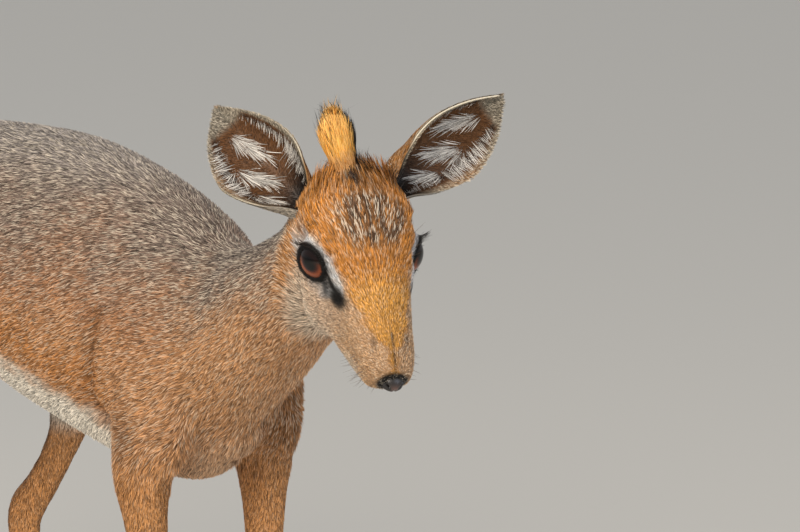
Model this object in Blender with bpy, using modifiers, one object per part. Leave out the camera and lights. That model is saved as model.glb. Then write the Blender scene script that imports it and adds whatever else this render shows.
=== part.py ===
"""A female dik-dik, the small crested antelope, standing with her head turned to one side.

Metres, +Z up, +X the way the body faces, +Y its left. The origin is on the floor, under the
middle of the bounding box. The flesh is lofted mass by mass, fused, and parted by thin cuts.
"""

import math
import random

import bmesh
import bpy
import numpy as np
from mathutils import Matrix, Vector
from mathutils.bvhtree import BVHTree

# Driving dimensions of the living animal, in metres
GAP = 0.0003
CUT_CLEARANCE = 1.15 * GAP
FUSE_VOXEL = 0.0016
FUSE_SMOOTHING = 10
BODY_SMOOTHING = 60
FLESH_TRIANGLES = 7800
COARSE_HEAD, COARSE_LEGS, COARSE_REST = 0.56, 0.66, 0.74

EYES = Vector((0.2533, -0.043, 0.360))
HEAD_YAW = -21.5
HEAD_PITCH = 45.0
EYE_RADIUS = 0.0122
EYE_CENTRE = Vector((-0.0015, 0.0211, 0.0025))
EYE_TURN = 57.0
EYE_LIFT = 16.0
LID_THICKNESS = 0.0018
NOSE_CENTRE = Vector((0.0738, 0, -0.0020))
NOSE_HALF = (0.0062, 0.0066, 0.0052)

STANCE_FORE = 0.042
STANCE_HIND = 0.042
HIND_STEP = 0.062
ELBOW_HEIGHT = 0.206
KNEE_HEIGHT = 0.112
HOCK_HEIGHT = 0.126
FETLOCK_HEIGHT = 0.046
CORONET_HEIGHT = 0.0165

# Tables of the head are in millimetres of its own frame
MM = 0.001
SEED = 11


def head_matrix():
    """From the head's own frame, X to the nose and Z out of the brow, to the model's."""
    yaw = Matrix.Rotation(math.radians(HEAD_YAW), 4, "Z")
    pitch = Matrix.Rotation(math.radians(HEAD_PITCH), 4, "Y")
    return Matrix.Translation(EYES) @ yaw @ pitch


def ramp(value, low, high):
    """0 below low, 1 above high and straight between them."""
    return min(max((value - low) / (high - low), 0.0), 1.0)


def mirrored(point, side):
    return Vector((point[0], point[1] * side, point[2]))


def spline(rows, count):
    """Catmull-Rom through the rows, read at evenly spaced places."""
    rows = np.asarray(rows, float)
    ends = np.vstack([2 * rows[0] - rows[1], rows, 2 * rows[-1] - rows[-2]])
    out = []
    for t in np.linspace(0, len(rows) - 1, count):
        i = min(int(t), len(rows) - 2)
        u = t - i
        a, b, c, d = ends[i : i + 4]
        bend = (2 * a - 5 * b + 4 * c - d) * u**2 + (3 * b - a - 3 * c + d) * u**3
        out.append(0.5 * (2 * b + (c - a) * u + bend))
    return np.array(out)


def loft(stations, rings=24, segments=24, side=(0, 1, 0), power=2.0, cap=0.6, cap_rings=4):
    """A closed tube through stations of (x, y, z, half width, front or upper half, lower half).

    A ring stands square to the path, with its width along side. The ends are domes.
    """
    table = spline(stations, rings)
    centres = table[:, :3]
    tangents = np.gradient(centres, axis=0)
    tangents /= np.linalg.norm(tangents, axis=1)[:, None]
    side = np.array(side, float)
    circle = np.linspace(0, 2 * math.pi, segments, endpoint=False)
    cos, sin = np.cos(circle), np.sin(circle)
    across = np.sign(cos) * np.abs(cos) ** (2 / power)
    upward = np.sign(sin) * np.abs(sin) ** (2 / power)

    def ring(k, shrink, forward):
        t = tangents[k]
        wide = side - side @ t * t
        wide /= np.linalg.norm(wide)
        high = np.cross(t, wide)
        width, up, down = table[k, 3:6]
        centre = centres[k] + t * forward
        heights = np.where(sin > 0, up, down) * upward
        return centre + shrink * (np.outer(across * width, wide) + np.outer(heights, high))

    def dome(k, way):
        size = table[k, 3:6].mean() * cap * way
        angles = np.linspace(0, math.pi / 2, cap_rings + 1)[1:]
        return [ring(k, max(math.cos(a), 1e-3), size * math.sin(a)) for a in angles]

    layers = dome(0, -1)[::-1] + [ring(k, 1, 0) for k in range(rings)] + dome(rings - 1, 1)
    return skin_of(layers)


def skin_of(layers):
    """A closed mesh from rings of equal length, with one face at each end."""
    mesh = bmesh.new()
    rows = [[mesh.verts.new(p) for p in layer] for layer in layers]
    n = len(rows[0])
    for low, high in zip(rows, rows[1:]):
        for i in range(n):
            mesh.faces.new((low[i], low[(i + 1) % n], high[(i + 1) % n], high[i]))
    mesh.faces.new(rows[0][::-1])
    mesh.faces.new(rows[-1])
    bmesh.ops.recalc_face_normals(mesh, faces=mesh.faces)
    return mesh


def ellipsoid(centre, radii, turn=Matrix.Identity(4), segments=24):
    mesh = bmesh.new()
    bmesh.ops.create_uvsphere(mesh, u_segments=segments, v_segments=segments // 2, radius=1)
    shape = Matrix.Translation(centre) @ turn @ Matrix.Diagonal((*radii, 1))
    bmesh.ops.transform(mesh, matrix=shape, verts=mesh.verts)
    return mesh


def moved(mesh, matrix):
    bmesh.ops.transform(mesh, matrix=matrix, verts=mesh.verts)
    return mesh


def object_from(mesh, name, collection):
    data = bpy.data.meshes.new(name)
    mesh.to_mesh(data)
    mesh.free()
    made = bpy.data.objects.new(name, data)
    collection.objects.link(made)
    return made


def joined(meshes):
    whole = bmesh.new()
    for mesh in meshes:
        data = bpy.data.meshes.new("mass")
        mesh.to_mesh(data)
        mesh.free()
        whole.from_mesh(data)
        bpy.data.meshes.remove(data)
    return whole


def baked(obj):
    """Applies every modifier of the object."""
    graph = bpy.context.evaluated_depsgraph_get()
    mesh = bpy.data.meshes.new_from_object(obj.evaluated_get(graph))
    old = obj.data
    obj.modifiers.clear()
    obj.data = mesh
    bpy.data.meshes.remove(old)
    return obj


def islands(mesh):
    """The connected pieces of a bmesh, each a set of its faces."""
    left, found = set(mesh.faces), []
    while left:
        stack, piece = [left.pop()], set()
        while stack:
            face = stack.pop()
            piece.add(face)
            for edge in face.edges:
                for other in edge.link_faces:
                    if other in left:
                        left.discard(other)
                        stack.append(other)
        found.append(piece)
    return found


def outside_out(obj):
    """Turns the faces of a closed mesh to point outwards."""
    mesh = bmesh.new()
    mesh.from_mesh(obj.data)
    bmesh.ops.recalc_face_normals(mesh, faces=mesh.faces)
    mesh.to_mesh(obj.data)
    mesh.free()
    return obj


def keep_largest(obj):
    """Drops every closed surface but the one with the most faces."""
    mesh = bmesh.new()
    mesh.from_mesh(obj.data)
    pieces = sorted(islands(mesh), key=len)
    scraps = [face for piece in pieces[:-1] for face in piece]
    bmesh.ops.delete(mesh, geom=scraps, context="FACES")
    mesh.to_mesh(obj.data)
    mesh.free()
    return obj


def boolean(obj, others, operation="DIFFERENCE", solver="EXACT"):
    """One Boolean with a list of closed meshes, applied, after which those meshes are gone."""
    group = bpy.data.collections.new("operands")
    bpy.context.scene.collection.children.link(group)
    made = [object_from(mesh, "operand", group) for mesh in others]
    cut = obj.modifiers.new("cut", "BOOLEAN")
    cut.operand_type = "COLLECTION"
    cut.collection = group
    cut.operation = operation
    cut.solver = solver
    baked(obj)
    for other in made:
        bpy.data.objects.remove(other)
    bpy.data.collections.remove(group)
    return keep_largest(obj)


# Trunk: the barrel with its arched back, shoulders and haunches
def trunk_masses():
    lines = (
        # x, topline, underline, half width
        (-0.242, 0.320, 0.278, 0.026),
        (-0.222, 0.346, 0.266, 0.041),
        (-0.180, 0.366, 0.260, 0.049),
        (-0.125, 0.379, 0.254, 0.053),
        (-0.062, 0.3835, 0.229, 0.055),
        (-0.008, 0.376, 0.216, 0.055),
        (0.038, 0.362, 0.206, 0.051),
        (0.072, 0.345, 0.203, 0.043),
        (0.095, 0.324, 0.220, 0.031),
    )
    rows = [(x, 0, (top + low) / 2, w, (top - low) / 2, (top - low) / 2) for x, top, low, w in lines]
    masses = [loft(rows, rings=44, segments=40, power=1.95)]
    for side in (1, -1):
        lean = Matrix.Rotation(math.radians(-20), 4, "Y") @ Matrix.Rotation(math.radians(8 * side), 4, "X")
        masses.append(ellipsoid((0.065, 0.033 * side, 0.268), (0.034, 0.019, 0.060), lean))
        lean = Matrix.Rotation(math.radians(-24), 4, "Y") @ Matrix.Rotation(math.radians(8 * side), 4, "X")
        hip = -0.196 + (0.20 * HIND_STEP if side > 0 else 0.0)
        masses.append(ellipsoid((hip, 0.030 * side, 0.300), (0.051, 0.025, 0.056), lean))
    return masses


def neck_masses():
    back_of_head = head_matrix() @ Vector((-0.027, 0, 0.000))
    rows = (
        (0.036, 0.000, 0.280, 0.043, 0.070, 0.058),
        (0.080, -0.002, 0.284, 0.041, 0.062, 0.053),
        (0.122, -0.009, 0.298, 0.036, 0.047, 0.041),
        (0.161, -0.019, 0.318, 0.0305, 0.038, 0.0325),
        (0.200, -0.028, 0.342, 0.0275, 0.033, 0.0285),
        (*back_of_head, 0.026, 0.028, 0.028),
    )
    return [loft(rows, rings=30, segments=32, side=(0.3, 1, 0))]


def leg(rows, side, spread):
    """A leg from rows of (x, z, half width, front half, back half, spread share)."""
    path = [(x, spread * share * side, z, w, fore, aft) for x, z, w, fore, aft, share in rows]
    return loft(path, rings=56, segments=20, cap=0.9)


def foreleg_masses(side):
    rows = (
        (0.080, 0.278, 0.016, 0.026, 0.034, 0.86),
        (0.072, 0.244, 0.017, 0.026, 0.028, 0.94),
        (0.068, 0.214, 0.0150, 0.0195, 0.0205, 1.00),
        (0.069, 0.190, 0.0122, 0.0138, 0.0142, 0.98),
        (0.072, 0.158, 0.0098, 0.0108, 0.0108, 0.93),
        (0.074, 0.134, 0.0084, 0.0088, 0.0090, 0.90),
        (0.075, 0.120, 0.0092, 0.0094, 0.0088, 0.89),
        (0.074, 0.104, 0.0076, 0.0072, 0.0082, 0.88),
        (0.073, 0.074, 0.0062, 0.0060, 0.0070, 0.86),
        (0.0735, 0.050, 0.0070, 0.0064, 0.0078, 0.85),
        (0.075, 0.038, 0.0082, 0.0074, 0.0094, 0.85),
        (0.081, 0.024, 0.0078, 0.0070, 0.0074, 0.85),
        (0.087, 0.012, 0.0086, 0.0082, 0.0082, 0.85),
    )
    return [leg(rows, side, STANCE_FORE), dewclaw(0.0655, 0.033, 0.85 * STANCE_FORE * side)]


def hindleg_masses(side):
    """The left one is set forward under the belly, the right one stands back."""
    step = HIND_STEP if side > 0 else 0.0
    rows = (
        (-0.196 + 0.18 * step, 0.308, 0.020, 0.044, 0.046, 0.84),
        (-0.182 + 0.48 * step, 0.274, 0.0225, 0.044, 0.046, 0.95),
        (-0.168 + 0.80 * step, 0.246, 0.0190, 0.032, 0.038, 1.03),
        (-0.165 + 0.98 * step, 0.220, 0.0132, 0.0185, 0.0215, 1.06),
        (-0.174 + 1.02 * step, 0.194, 0.0092, 0.0112, 0.0128, 1.04),
        (-0.190 + step, 0.166, 0.0084, 0.0102, 0.0118, 1.00),
        (-0.203 + 0.95 * step, 0.146, 0.0090, 0.0120, 0.0135, 0.98),
        (-0.203 + 0.96 * step, 0.130, 0.0084, 0.0098, 0.0115, 0.96),
        (-0.199 + step, 0.108, 0.0068, 0.0068, 0.0080, 0.94),
        (-0.196 + step, 0.074, 0.0062, 0.0062, 0.0070, 0.92),
        (-0.194 + step, 0.050, 0.0070, 0.0066, 0.0078, 0.90),
        (-0.192 + step, 0.038, 0.0082, 0.0074, 0.0094, 0.90),
        (-0.186 + step, 0.024, 0.0078, 0.0070, 0.0074, 0.90),
        (-0.180 + step, 0.012, 0.0086, 0.0082, 0.0082, 0.90),
    )
    claw = dewclaw(-0.2015 + step, 0.033, 0.90 * STANCE_HIND * side)
    return [leg(rows, side, STANCE_HIND), claw]


def dewclaw(x, z, y):
    """The two small claws behind a fetlock, as one low ridge."""
    return ellipsoid((x, y, z), (0.0032, 0.0066, 0.0044), segments=12)


def tail_masses():
    rows = (
        (-0.232, 0, 0.334, 0.014, 0.010, 0.012),
        (-0.260, 0, 0.324, 0.0100, 0.0080, 0.0085),
        (-0.274, 0, 0.304, 0.0085, 0.0062, 0.0062),
        (-0.278, 0, 0.282, 0.0050, 0.0034, 0.0034),
    )
    return [loft(rows, rings=16, segments=16)]


def head_masses():
    skull = (
        # x, top, bottom, half width
        (-43, 16, -20, 21.5),
        (-35, 25, -26, 27.5),
        (-20, 31.5, -27, 32),
        (-2, 30.5, -25, 30.5),
        (13, 26, -23, 25.8),
        (29, 20.8, -19.5, 20.4),
        (45, 16.5, -17.5, 17.2),
        (60, 12.8, -15.0, 15.4),
        (70, 8.5, -13.0, 13.0),
    )
    jaw = (
        (-30, 0, -34, 18),
        (-12, 2, -38.5, 25),
        (5, 0, -38, 24.5),
        (22, -4, -34.5, 21.5),
        (38, -6, -30.5, 18.2),
        (53, -8, -26.0, 14.2),
        (65, -9, -21.0, 11.2),
    )

    def tube(table, **shape):
        rows = []
        for x, top, low, w in table:
            half = (top - low) / 2 * MM
            rows.append((x * MM, 0, (top + low) / 2 * MM, w * MM, half, half))
        return loft(rows, **shape)

    masses = [
        tube(skull, rings=40, segments=36, power=2.15, cap=0.7),
        tube(jaw, rings=28, segments=24, cap=0.7),
    ]
    for side in (1, -1):
        masses.append(ellipsoid(mirrored(EYE_CENTRE, side), [EYE_RADIUS + LID_THICKNESS] * 3))
        taper = Matrix.Rotation(math.radians(-13 * side), 4, "Z")
        masses.append(ellipsoid((0.014, 0.0140 * side, -0.0115), (0.036, 0.0110, 0.0130), taper))
        masses.append(ellipsoid((0.0675, 0.0070 * side, -0.0076), (0.0075, 0.0068, 0.0058)))
        masses.append(ellipsoid((0.006, 0.0140 * side, -0.0230), (0.024, 0.0138, 0.0175)))
    return [moved(m, head_matrix()) for m in masses]


def fused_flesh(collection):
    """Every mass made one smooth closed skin, finest on the head."""
    masses = trunk_masses() + neck_masses() + tail_masses() + head_masses()
    for side in (1, -1):
        masses += foreleg_masses(side) + hindleg_masses(side)
    flesh = object_from(joined(masses), "flesh", collection)
    remesh = flesh.modifiers.new("fuse", "REMESH")
    remesh.mode = "VOXEL"
    remesh.voxel_size = FUSE_VOXEL
    smooth = flesh.modifiers.new("blend", "SMOOTH")
    smooth.factor = 0.5
    smooth.iterations = FUSE_SMOOTHING
    baked(flesh)
    body = flesh.vertex_groups.new(name="body")
    coarse = flesh.vertex_groups.new(name="coarse")
    for vertex in flesh.data.vertices:
        from_eyes = (vertex.co - EYES).length
        over_legs = ramp(vertex.co.z, ELBOW_HEIGHT, ELBOW_HEIGHT + 0.03)
        before_tail = ramp(vertex.co.x, -0.238, -0.215)
        body.add([vertex.index], over_legs * before_tail * ramp(from_eyes, 0.075, 0.100), "REPLACE")
        weight = COARSE_HEAD if from_eyes < 0.080 else (COARSE_REST if over_legs else COARSE_LEGS)
        coarse.add([vertex.index], weight, "REPLACE")
    muscle = flesh.modifiers.new("muscle", "SMOOTH")
    muscle.vertex_group = body.name
    muscle.factor = 0.5
    muscle.iterations = BODY_SMOOTHING
    fewer = flesh.modifiers.new("fewer", "DECIMATE")
    fewer.vertex_group = coarse.name
    fewer.use_collapse_triangulate = True
    fewer.ratio = FLESH_TRIANGLES / (2 * len(flesh.data.polygons))
    baked(flesh)
    flesh.vertex_groups.clear()
    return flesh


# Cuts: thin plates that part the flesh where its nodes meet
def slab(point, normal, along, length, width):
    """A plate GAP thick through the point, square to normal, with half sizes length and width."""
    up = Vector(normal).normalized()
    fore = Vector(along)
    fore = (fore - fore.dot(up) * up).normalized()
    turn = Matrix((fore, up.cross(fore), up)).transposed().to_4x4()
    mesh = bmesh.new()
    bmesh.ops.create_cube(mesh, size=2)
    shape = Matrix.Translation(point) @ turn @ Matrix.Diagonal((length, width, GAP / 2, 1))
    return moved(mesh, shape)


def body_cuts():
    cuts = [slab((0.094, -0.002, 0.290), (0.945, 0, 0.327), (0, 1, 0), 0.09, 0.10)]
    cuts.append(slab((-0.2610, 0, 0.3230), (-0.74, 0, -0.67), (0, 1, 0), 0.022, 0.0130))
    for side in (1, -1):
        fore, step = STANCE_FORE * side, HIND_STEP if side > 0 else 0.0
        hind = STANCE_HIND * side
        cuts.append(slab((0.069, fore, ELBOW_HEIGHT), (0, -0.36 * side, 1), (1, 0, 0), 0.034, 0.024))
        for height in (KNEE_HEIGHT, FETLOCK_HEIGHT):
            cuts.append(slab((0.074, 0.88 * fore, height), (0, 0, 1), (1, 0, 0), 0.02, 0.018))
        thigh = (-0.176 + 0.42 * step, 0.80 * hind, 0.251)
        cuts.append(slab(thigh, (0.24, -0.46 * side, 1), (1, 0, 0), 0.086, 0.040))
        for height in (HOCK_HEIGHT, FETLOCK_HEIGHT):
            cuts.append(slab((-0.198 + step, 0.92 * hind, height), (0, 0, 1), (1, 0, 0), 0.024, 0.018))
        for x, y in FEET[side]:
            cuts.append(slab((x, y, CORONET_HEIGHT), CORONET_NORMAL, (1, 0, 0), 0.022, 0.018))
    return cuts


# Where the four feet stand, by side, the fore one first
FEET = {
    side: (
        (0.085, 0.85 * STANCE_FORE * side),
        (-0.182 + (HIND_STEP if side > 0 else 0.0), 0.90 * STANCE_HIND * side),
    )
    for side in (1, -1)
}
CORONET_NORMAL = (-0.30, 0, 1)


def head_cuts():
    """Behind the head from poll to throat, and round the front of the lower jaw."""
    plates = (
        # point, normal, half length, half width, in millimetres of the head's frame
        ((-30, 0, -25), (-0.816, 0, -0.578), 60, 66),
        ((63, 0, -14.7), (-0.164, 0, 0.986), 30, 19.5),
        ((28.7, 0, -31.6), (0.671, 0, -0.741), 34, 20.9),
    )
    cuts = []
    for point, normal, across, along in plates:
        plate = slab(Vector(point) * MM, normal, (0, 1, 0), across * MM, along * MM)
        cuts.append(moved(plate, head_matrix()))
    return cuts


def landmarks():
    """A point on each piece that the cuts leave, by the name of its node."""
    named = {
        "torso": (-0.06, 0, 0.3835),
        "neck": (0.150, -0.016, 0.352),
        "tail": (-0.286, 0, 0.290),
        "head": head_matrix() @ Vector((0.010, 0, 0.027)),
        "lower_jaw": head_matrix() @ Vector((0.050, 0, -0.024)),
    }
    for side, name in ((1, "left"), (-1, "right")):
        fore, hind = STANCE_FORE * side, STANCE_HIND * side
        step = HIND_STEP if side > 0 else 0.0
        named["foreleg_" + name] = (0.083, 0.93 * fore, 0.158)
        named["fore_cannon_" + name] = (0.079, 0.86 * fore, 0.074)
        named["fore_pastern_" + name] = (0.083, 0.85 * fore, 0.036)
        named["hindleg_" + name] = (-0.174 + 0.92 * step, 1.2 * hind, 0.188)
        named["hind_cannon_" + name] = (-0.190 + step, 0.92 * hind, 0.074)
        named["hind_pastern_" + name] = (-0.184 + step, 0.90 * hind, 0.036)
    return {name: Vector(point) for name, point in named.items()}


def parted(flesh, collection):
    """Cuts the flesh and gives each piece its own object. What no landmark names is dropped."""
    group = bpy.data.collections.new("cutters")
    bpy.context.scene.collection.children.link(group)
    for number, cut in enumerate(body_cuts() + head_cuts()):
        plate = object_from(cut, "plate_%d" % number, group)
        plate.hide_render = True
        plate.display_type = "WIRE"
        modifier = flesh.modifiers.new("part", "BOOLEAN")
        modifier.object = plate
        modifier.solver = "MANIFOLD"
    baked(flesh)
    whole = bmesh.new()
    whole.from_mesh(flesh.data)
    pieces = []
    for faces in islands(whole):
        mesh = bmesh.new()
        twin = {v: mesh.verts.new(v.co) for v in {v for face in faces for v in face.verts}}
        for face in faces:
            mesh.faces.new([twin[v] for v in face.verts])
        pieces.append((BVHTree.FromBMesh(mesh), mesh))
    made = {}
    for name, point in landmarks().items():
        nearest = min(pieces, key=lambda piece: piece[0].find_nearest(point)[3])
        made[name] = object_from(nearest[1].copy(), name, collection)
    for mesh in [whole] + [piece[1] for piece in pieces]:
        mesh.free()
    bpy.data.objects.remove(flesh)
    return made


# Head details
def eye_frame(side):
    """From an eye's own frame, Z along its line of sight and X to its front corner."""
    turn = Matrix.Rotation(math.radians(EYE_TURN * side), 4, "Z")
    sight = turn @ Matrix.Rotation(math.radians(90 - EYE_LIFT), 4, "Y")
    return head_matrix() @ Matrix.Translation(mirrored(EYE_CENTRE, side)) @ sight


def ball(radius, side):
    mesh = bmesh.new()
    bmesh.ops.create_uvsphere(mesh, u_segments=18, v_segments=10, radius=radius)
    return moved(mesh, eye_frame(side))


def lid_opening(side, half_length=0.0082, half_height=0.0082, power=1.85, count=26):
    """An almond tube from the middle of the eyeball outward, its front corner turned down."""
    layers = []
    for depth, grow in ((0.002, 0.70), (0.0105, 0.98), (0.020, 1.25)):
        ring = []
        for angle in np.linspace(0, 2 * math.pi, count, endpoint=False):
            c, t = math.cos(angle), math.sin(angle)
            y = math.copysign(abs(c) ** (2 / power), c) * half_length * grow
            x = math.copysign(abs(t) ** (2 / power), t) * half_height * grow
            ring.append((x, y, depth))
        layers.append(ring)
    tilt = Matrix.Rotation(math.radians(14 * side), 4, "Z")
    return moved(skin_of(layers), eye_frame(side) @ tilt)


def nose_mass(grow=0.0):
    mesh = ellipsoid(NOSE_CENTRE, [half + grow for half in NOSE_HALF], segments=16)
    return moved(mesh, head_matrix())


def nostril(side):
    turn = Matrix.Rotation(math.radians(-35 * side), 4, "Z") @ Matrix.Rotation(math.radians(25), 4, "X")
    place = NOSE_CENTRE + Vector((0.0050, 0.0043 * side, 0.0003))
    return moved(ellipsoid(place, (0.0040, 0.0011, 0.0019), turn, 12), head_matrix())


def finish_head(head):
    """Seats for the nose pad and the eyes, with the opening of the lids over each eye."""
    boolean(head, [nose_mass(GAP)])
    for side in (1, -1):
        boolean(head, [ball(EYE_RADIUS + GAP, side), lid_opening(side)])


def grown(obj):
    """The object's mesh moved out along its normals by GAP, to cut what sits on it."""
    mesh = bmesh.new()
    mesh.from_mesh(obj.data)
    bmesh.ops.triangulate(mesh, faces=mesh.faces)
    mesh.normal_update()
    moves = [(v, v.co + v.normal * CUT_CLEARANCE) for v in mesh.verts]
    for vertex, place in moves:
        vertex.co = place
    return mesh


# Ears: leaves rolled to a tube at the root and open to a cup above
EARS = {
    # root, tip direction and the way the cup faces, in the head's frame
    1: (Vector((-33, 24, 9)), Vector((-0.5026, 0.7885, 0.3543)), Vector((0.33, 0.70, 0.65))),
    -1: (Vector((-31, -24.6, 7.2)), Vector((-0.9132, -0.3889, -0.1225)), Vector((0.24, -0.50, 0.83))),
}
EAR_LENGTH = 0.078
EAR_WALL = 0.0015
# How much wider the inner and outer edges are than the table, and how late up the ear that starts
EDGE_SHARES = {1: (1.0, 1.20, 1.0), -1: (1.28, 1.04, 2.0)}


def ear_mesh(side):
    root, axis, facing = EARS[side]
    axis = axis.normalized()
    facing = (facing - facing.dot(axis) * axis).normalized()
    outward = axis.cross(facing) * side
    if outward.y * side < 0:
        outward = -outward
    table = spline(
        (
            # inner half width, outer half width, half angle of the roll in degrees
            (7.5, 7.5, 150),
            (9.5, 11.5, 118),
            (12.5, 18.0, 82),
            (15.0, 23.0, 62),
            (15.0, 25.5, 52),
            (12.5, 22.5, 44),
            (8.0, 15.5, 36),
            (1.4, 2.2, 30),
        ),
        13,
    )
    *shares, late = EDGE_SHARES[side]
    mesh, rows = bmesh.new(), []
    for k, (inner, outer, roll) in enumerate(table):
        u = k / (len(table) - 1)
        beta = math.radians(roll)
        reach = math.sin(min(beta, math.pi / 2))
        inner_share, outer_share = (1 + (share - 1) * math.sin(math.pi * u**late) ** 0.5 for share in shares)
        bow = 0.006 * math.sin(math.pi * u)
        centre = root * MM + axis * (EAR_LENGTH * u) - facing * bow
        row = []
        for theta in np.linspace(-beta, beta, 11):
            width = (outer * outer_share if theta > 0 else inner * inner_share) / reach * MM
            mean = (inner + outer) / 2 / reach * MM
            deep = mean * (math.cos(theta) - math.cos(beta))
            row.append(mesh.verts.new(centre + outward * width * math.sin(theta) - facing * deep))
        rows.append(row)
    for low, high in zip(rows, rows[1:]):
        for i in range(len(low) - 1):
            mesh.faces.new((low[i], low[i + 1], high[i + 1], high[i]))
    return moved(mesh, head_matrix())


def make_ear(side, name, collection, neighbours):
    ear = object_from(ear_mesh(side), name, collection)
    wall = ear.modifiers.new("wall", "SOLIDIFY")
    wall.thickness = EAR_WALL
    wall.offset = 0
    wall.use_even_offset = True
    outside_out(baked(ear))
    root, axis, facing = EARS[side]
    stem = root * MM - facing * 0.0058 + axis * 0.005
    plug = ellipsoid(stem, (0.0088, 0.0088, 0.0150), axis.to_track_quat("Z", "Y").to_matrix().to_4x4(), 14)
    boolean(ear, [moved(plug, head_matrix())], "UNION")
    for neighbour in neighbours:
        boolean(ear, [grown(neighbour)])
    return ear


# Crest: a core on the crown and the locks of hair that stand out of it
CREST = (
    # x, y, z, half width, front half, back half, in millimetres of the head's frame
    (-34, -3.0, 21.5, 9.0, 8.0, 8.0),
    (-43, -6.0, 28.5, 9.8, 7.5, 7.5),
    (-53, -8.5, 35.5, 10.8, 7.5, 7.0),
    (-62, -10.0, 40.5, 9.8, 6.5, 6.0),
    (-71, -11.5, 44.0, 7.0, 5.0, 4.5),
)
CREST_LOCKS = 30
LOCK_HALF_WIDTH = 2.8
LOCK_HALF_THICKNESS = 0.75
CORE_REACH = 0.42
CREST_STEPS = 41
TANGENT_STEP = 0.02
TIP_SPREAD = 0.18
RAGGED_TOP = 0.26
GOLDEN_ANGLE = math.radians(137.5)


def lock(across, forward, start, stop, sway):
    """One flat tapered lock. It keeps its place (across, forward) in the tuft as the tuft leans."""
    table = spline(CREST, CREST_STEPS)
    heights = np.linspace(0, 1, CREST_STEPS)

    def station(at):
        return np.array([np.interp(at, heights, column) for column in table.T])

    layers = []
    for share, size in ((0.0, 1.0), (0.42, 0.98), (0.78, 0.60), (1.0, 0.08)):
        at = start + (stop - start) * share
        row = station(at)
        along = Vector((station(at + TANGENT_STEP) - station(at - TANGENT_STEP))[:3]).normalized()
        wide = Vector((0, 1, 0))
        wide = (wide - wide.dot(along) * along).normalized()
        high = along.cross(wide)
        spread = 1 + TIP_SPREAD * share * share
        out = wide * across * row[3] * spread + high * forward * row[4] * spread
        out += (wide * sway[0] + high * sway[1]) * share * share
        radial = out.normalized() if out.length > 1e-6 else high
        flat = along.cross(radial).normalized()
        middle = Vector(row[:3]) + out
        w, t = flat * LOCK_HALF_WIDTH * size, radial * LOCK_HALF_THICKNESS * size
        layers.append([(middle + offset) * MM for offset in (w, t, -w, -t)])
    return moved(skin_of(layers), head_matrix())


def make_crest(collection, neighbours):
    dice = random.Random(SEED)
    rows = spline(CREST, 21)[: int(21 * CORE_REACH)] * MM
    rows[:, 3:] *= 0.86
    core = loft(rows, rings=7, segments=14, cap=0.7, cap_rings=2)
    crest = object_from(moved(core, head_matrix()), "crest", collection)
    locks = []
    for number in range(CREST_LOCKS):
        # Sunflower spacing over the foot of the tuft
        reach = 0.97 * math.sqrt((number + 0.5) / CREST_LOCKS)
        angle = number * GOLDEN_ANGLE + dice.uniform(-0.2, 0.2)
        sway = (dice.uniform(-1.6, 1.6), dice.uniform(-1.3, 1.3))
        stop = dice.uniform(0.84, 1.0) - RAGGED_TOP * reach * reach * dice.random()
        start = dice.uniform(0.10, 0.22)
        locks.append(lock(reach * math.cos(angle), reach * math.sin(angle), start, stop, sway))
    boolean(crest, locks, "UNION", "MANIFOLD")
    for neighbour in neighbours:
        boolean(crest, [grown(neighbour)])
    return crest


# Hooves: two claws a foot, flat soled
def claw(x, y, inner_side, height=CORONET_HEIGHT, count=14):
    """One claw. inner_side is 1 where the cleft lies on its +Y side, -1 where on its -Y side."""
    rings = (
        # share of height, toe reach, heel reach, half width
        (0.00, 0.0150, 0.0092, 0.0043),
        (0.10, 0.0153, 0.0094, 0.0044),
        (0.55, 0.0112, 0.0090, 0.0043),
        (1.00, 0.0070, 0.0080, 0.0040),
    )
    slope = CORONET_NORMAL[0] * -1
    layers = []
    for share, toe, heel, width in rings:
        ring = []
        for angle in np.linspace(0, 2 * math.pi, count, endpoint=False):
            c, t = math.cos(angle), math.sin(angle)
            dx = c * (toe if c > 0 else heel)
            dy = t * width * (1 - 0.30 * max(c, 0)) - inner_side * -0.0008 * max(c, 0)
            top = height - 1.1 * GAP + slope * dx
            ring.append((x + dx, y + dy, share * top))
        layers.append(ring)
    return skin_of(layers)


def make_hooves(collection):
    made = {}
    for side, name in ((1, "left"), (-1, "right")):
        for (x, y), end in zip(FEET[side], ("fore", "hind")):
            for offset, place in ((0.0046, "outer"), (-0.0046, "inner")):
                label = "hoof_%s_%s_%s" % (end, name, place)
                mesh = claw(x, y + offset * side, -math.copysign(1, offset * side))
                made[label] = object_from(mesh, label, collection)
    return made


# Finishes
COLOURS = {
    # linear red, green and blue, then roughness
    "agouti_coat": ((0.36, 0.29, 0.22), 0.85),
    "tawny_coat": ((0.47, 0.25, 0.10), 0.85),
    "orange_crest": ((0.70, 0.36, 0.06), 0.8),
    "ear_skin": ((0.34, 0.26, 0.20), 0.75),
    "wet_eye": ((0.035, 0.012, 0.006), 0.08),
    "nose_skin": ((0.012, 0.011, 0.011), 0.35),
    "hoof_horn": ((0.030, 0.024, 0.020), 0.45),
}
FINISH_BY_START = {
    "torso": "agouti_coat", "neck": "agouti_coat", "tail": "agouti_coat",
    "head": "tawny_coat", "lower_jaw": "tawny_coat", "fore": "tawny_coat", "hind": "tawny_coat",
    "crest": "orange_crest", "ear": "ear_skin", "eye": "wet_eye", "nose": "nose_skin", "hoof": "hoof_horn",
}


def finish(obj):
    kind = next(kind for start, kind in FINISH_BY_START.items() if obj.name.startswith(start))
    material = bpy.data.materials.get(kind) or bpy.data.materials.new(kind)
    material.use_nodes = True
    shader = material.node_tree.nodes["Principled BSDF"]
    colour, roughness = COLOURS[kind]
    shader.inputs["Base Color"].default_value = (*colour, 1)
    shader.inputs["Roughness"].default_value = roughness
    obj.data.materials.clear()
    obj.data.materials.append(material)


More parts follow.
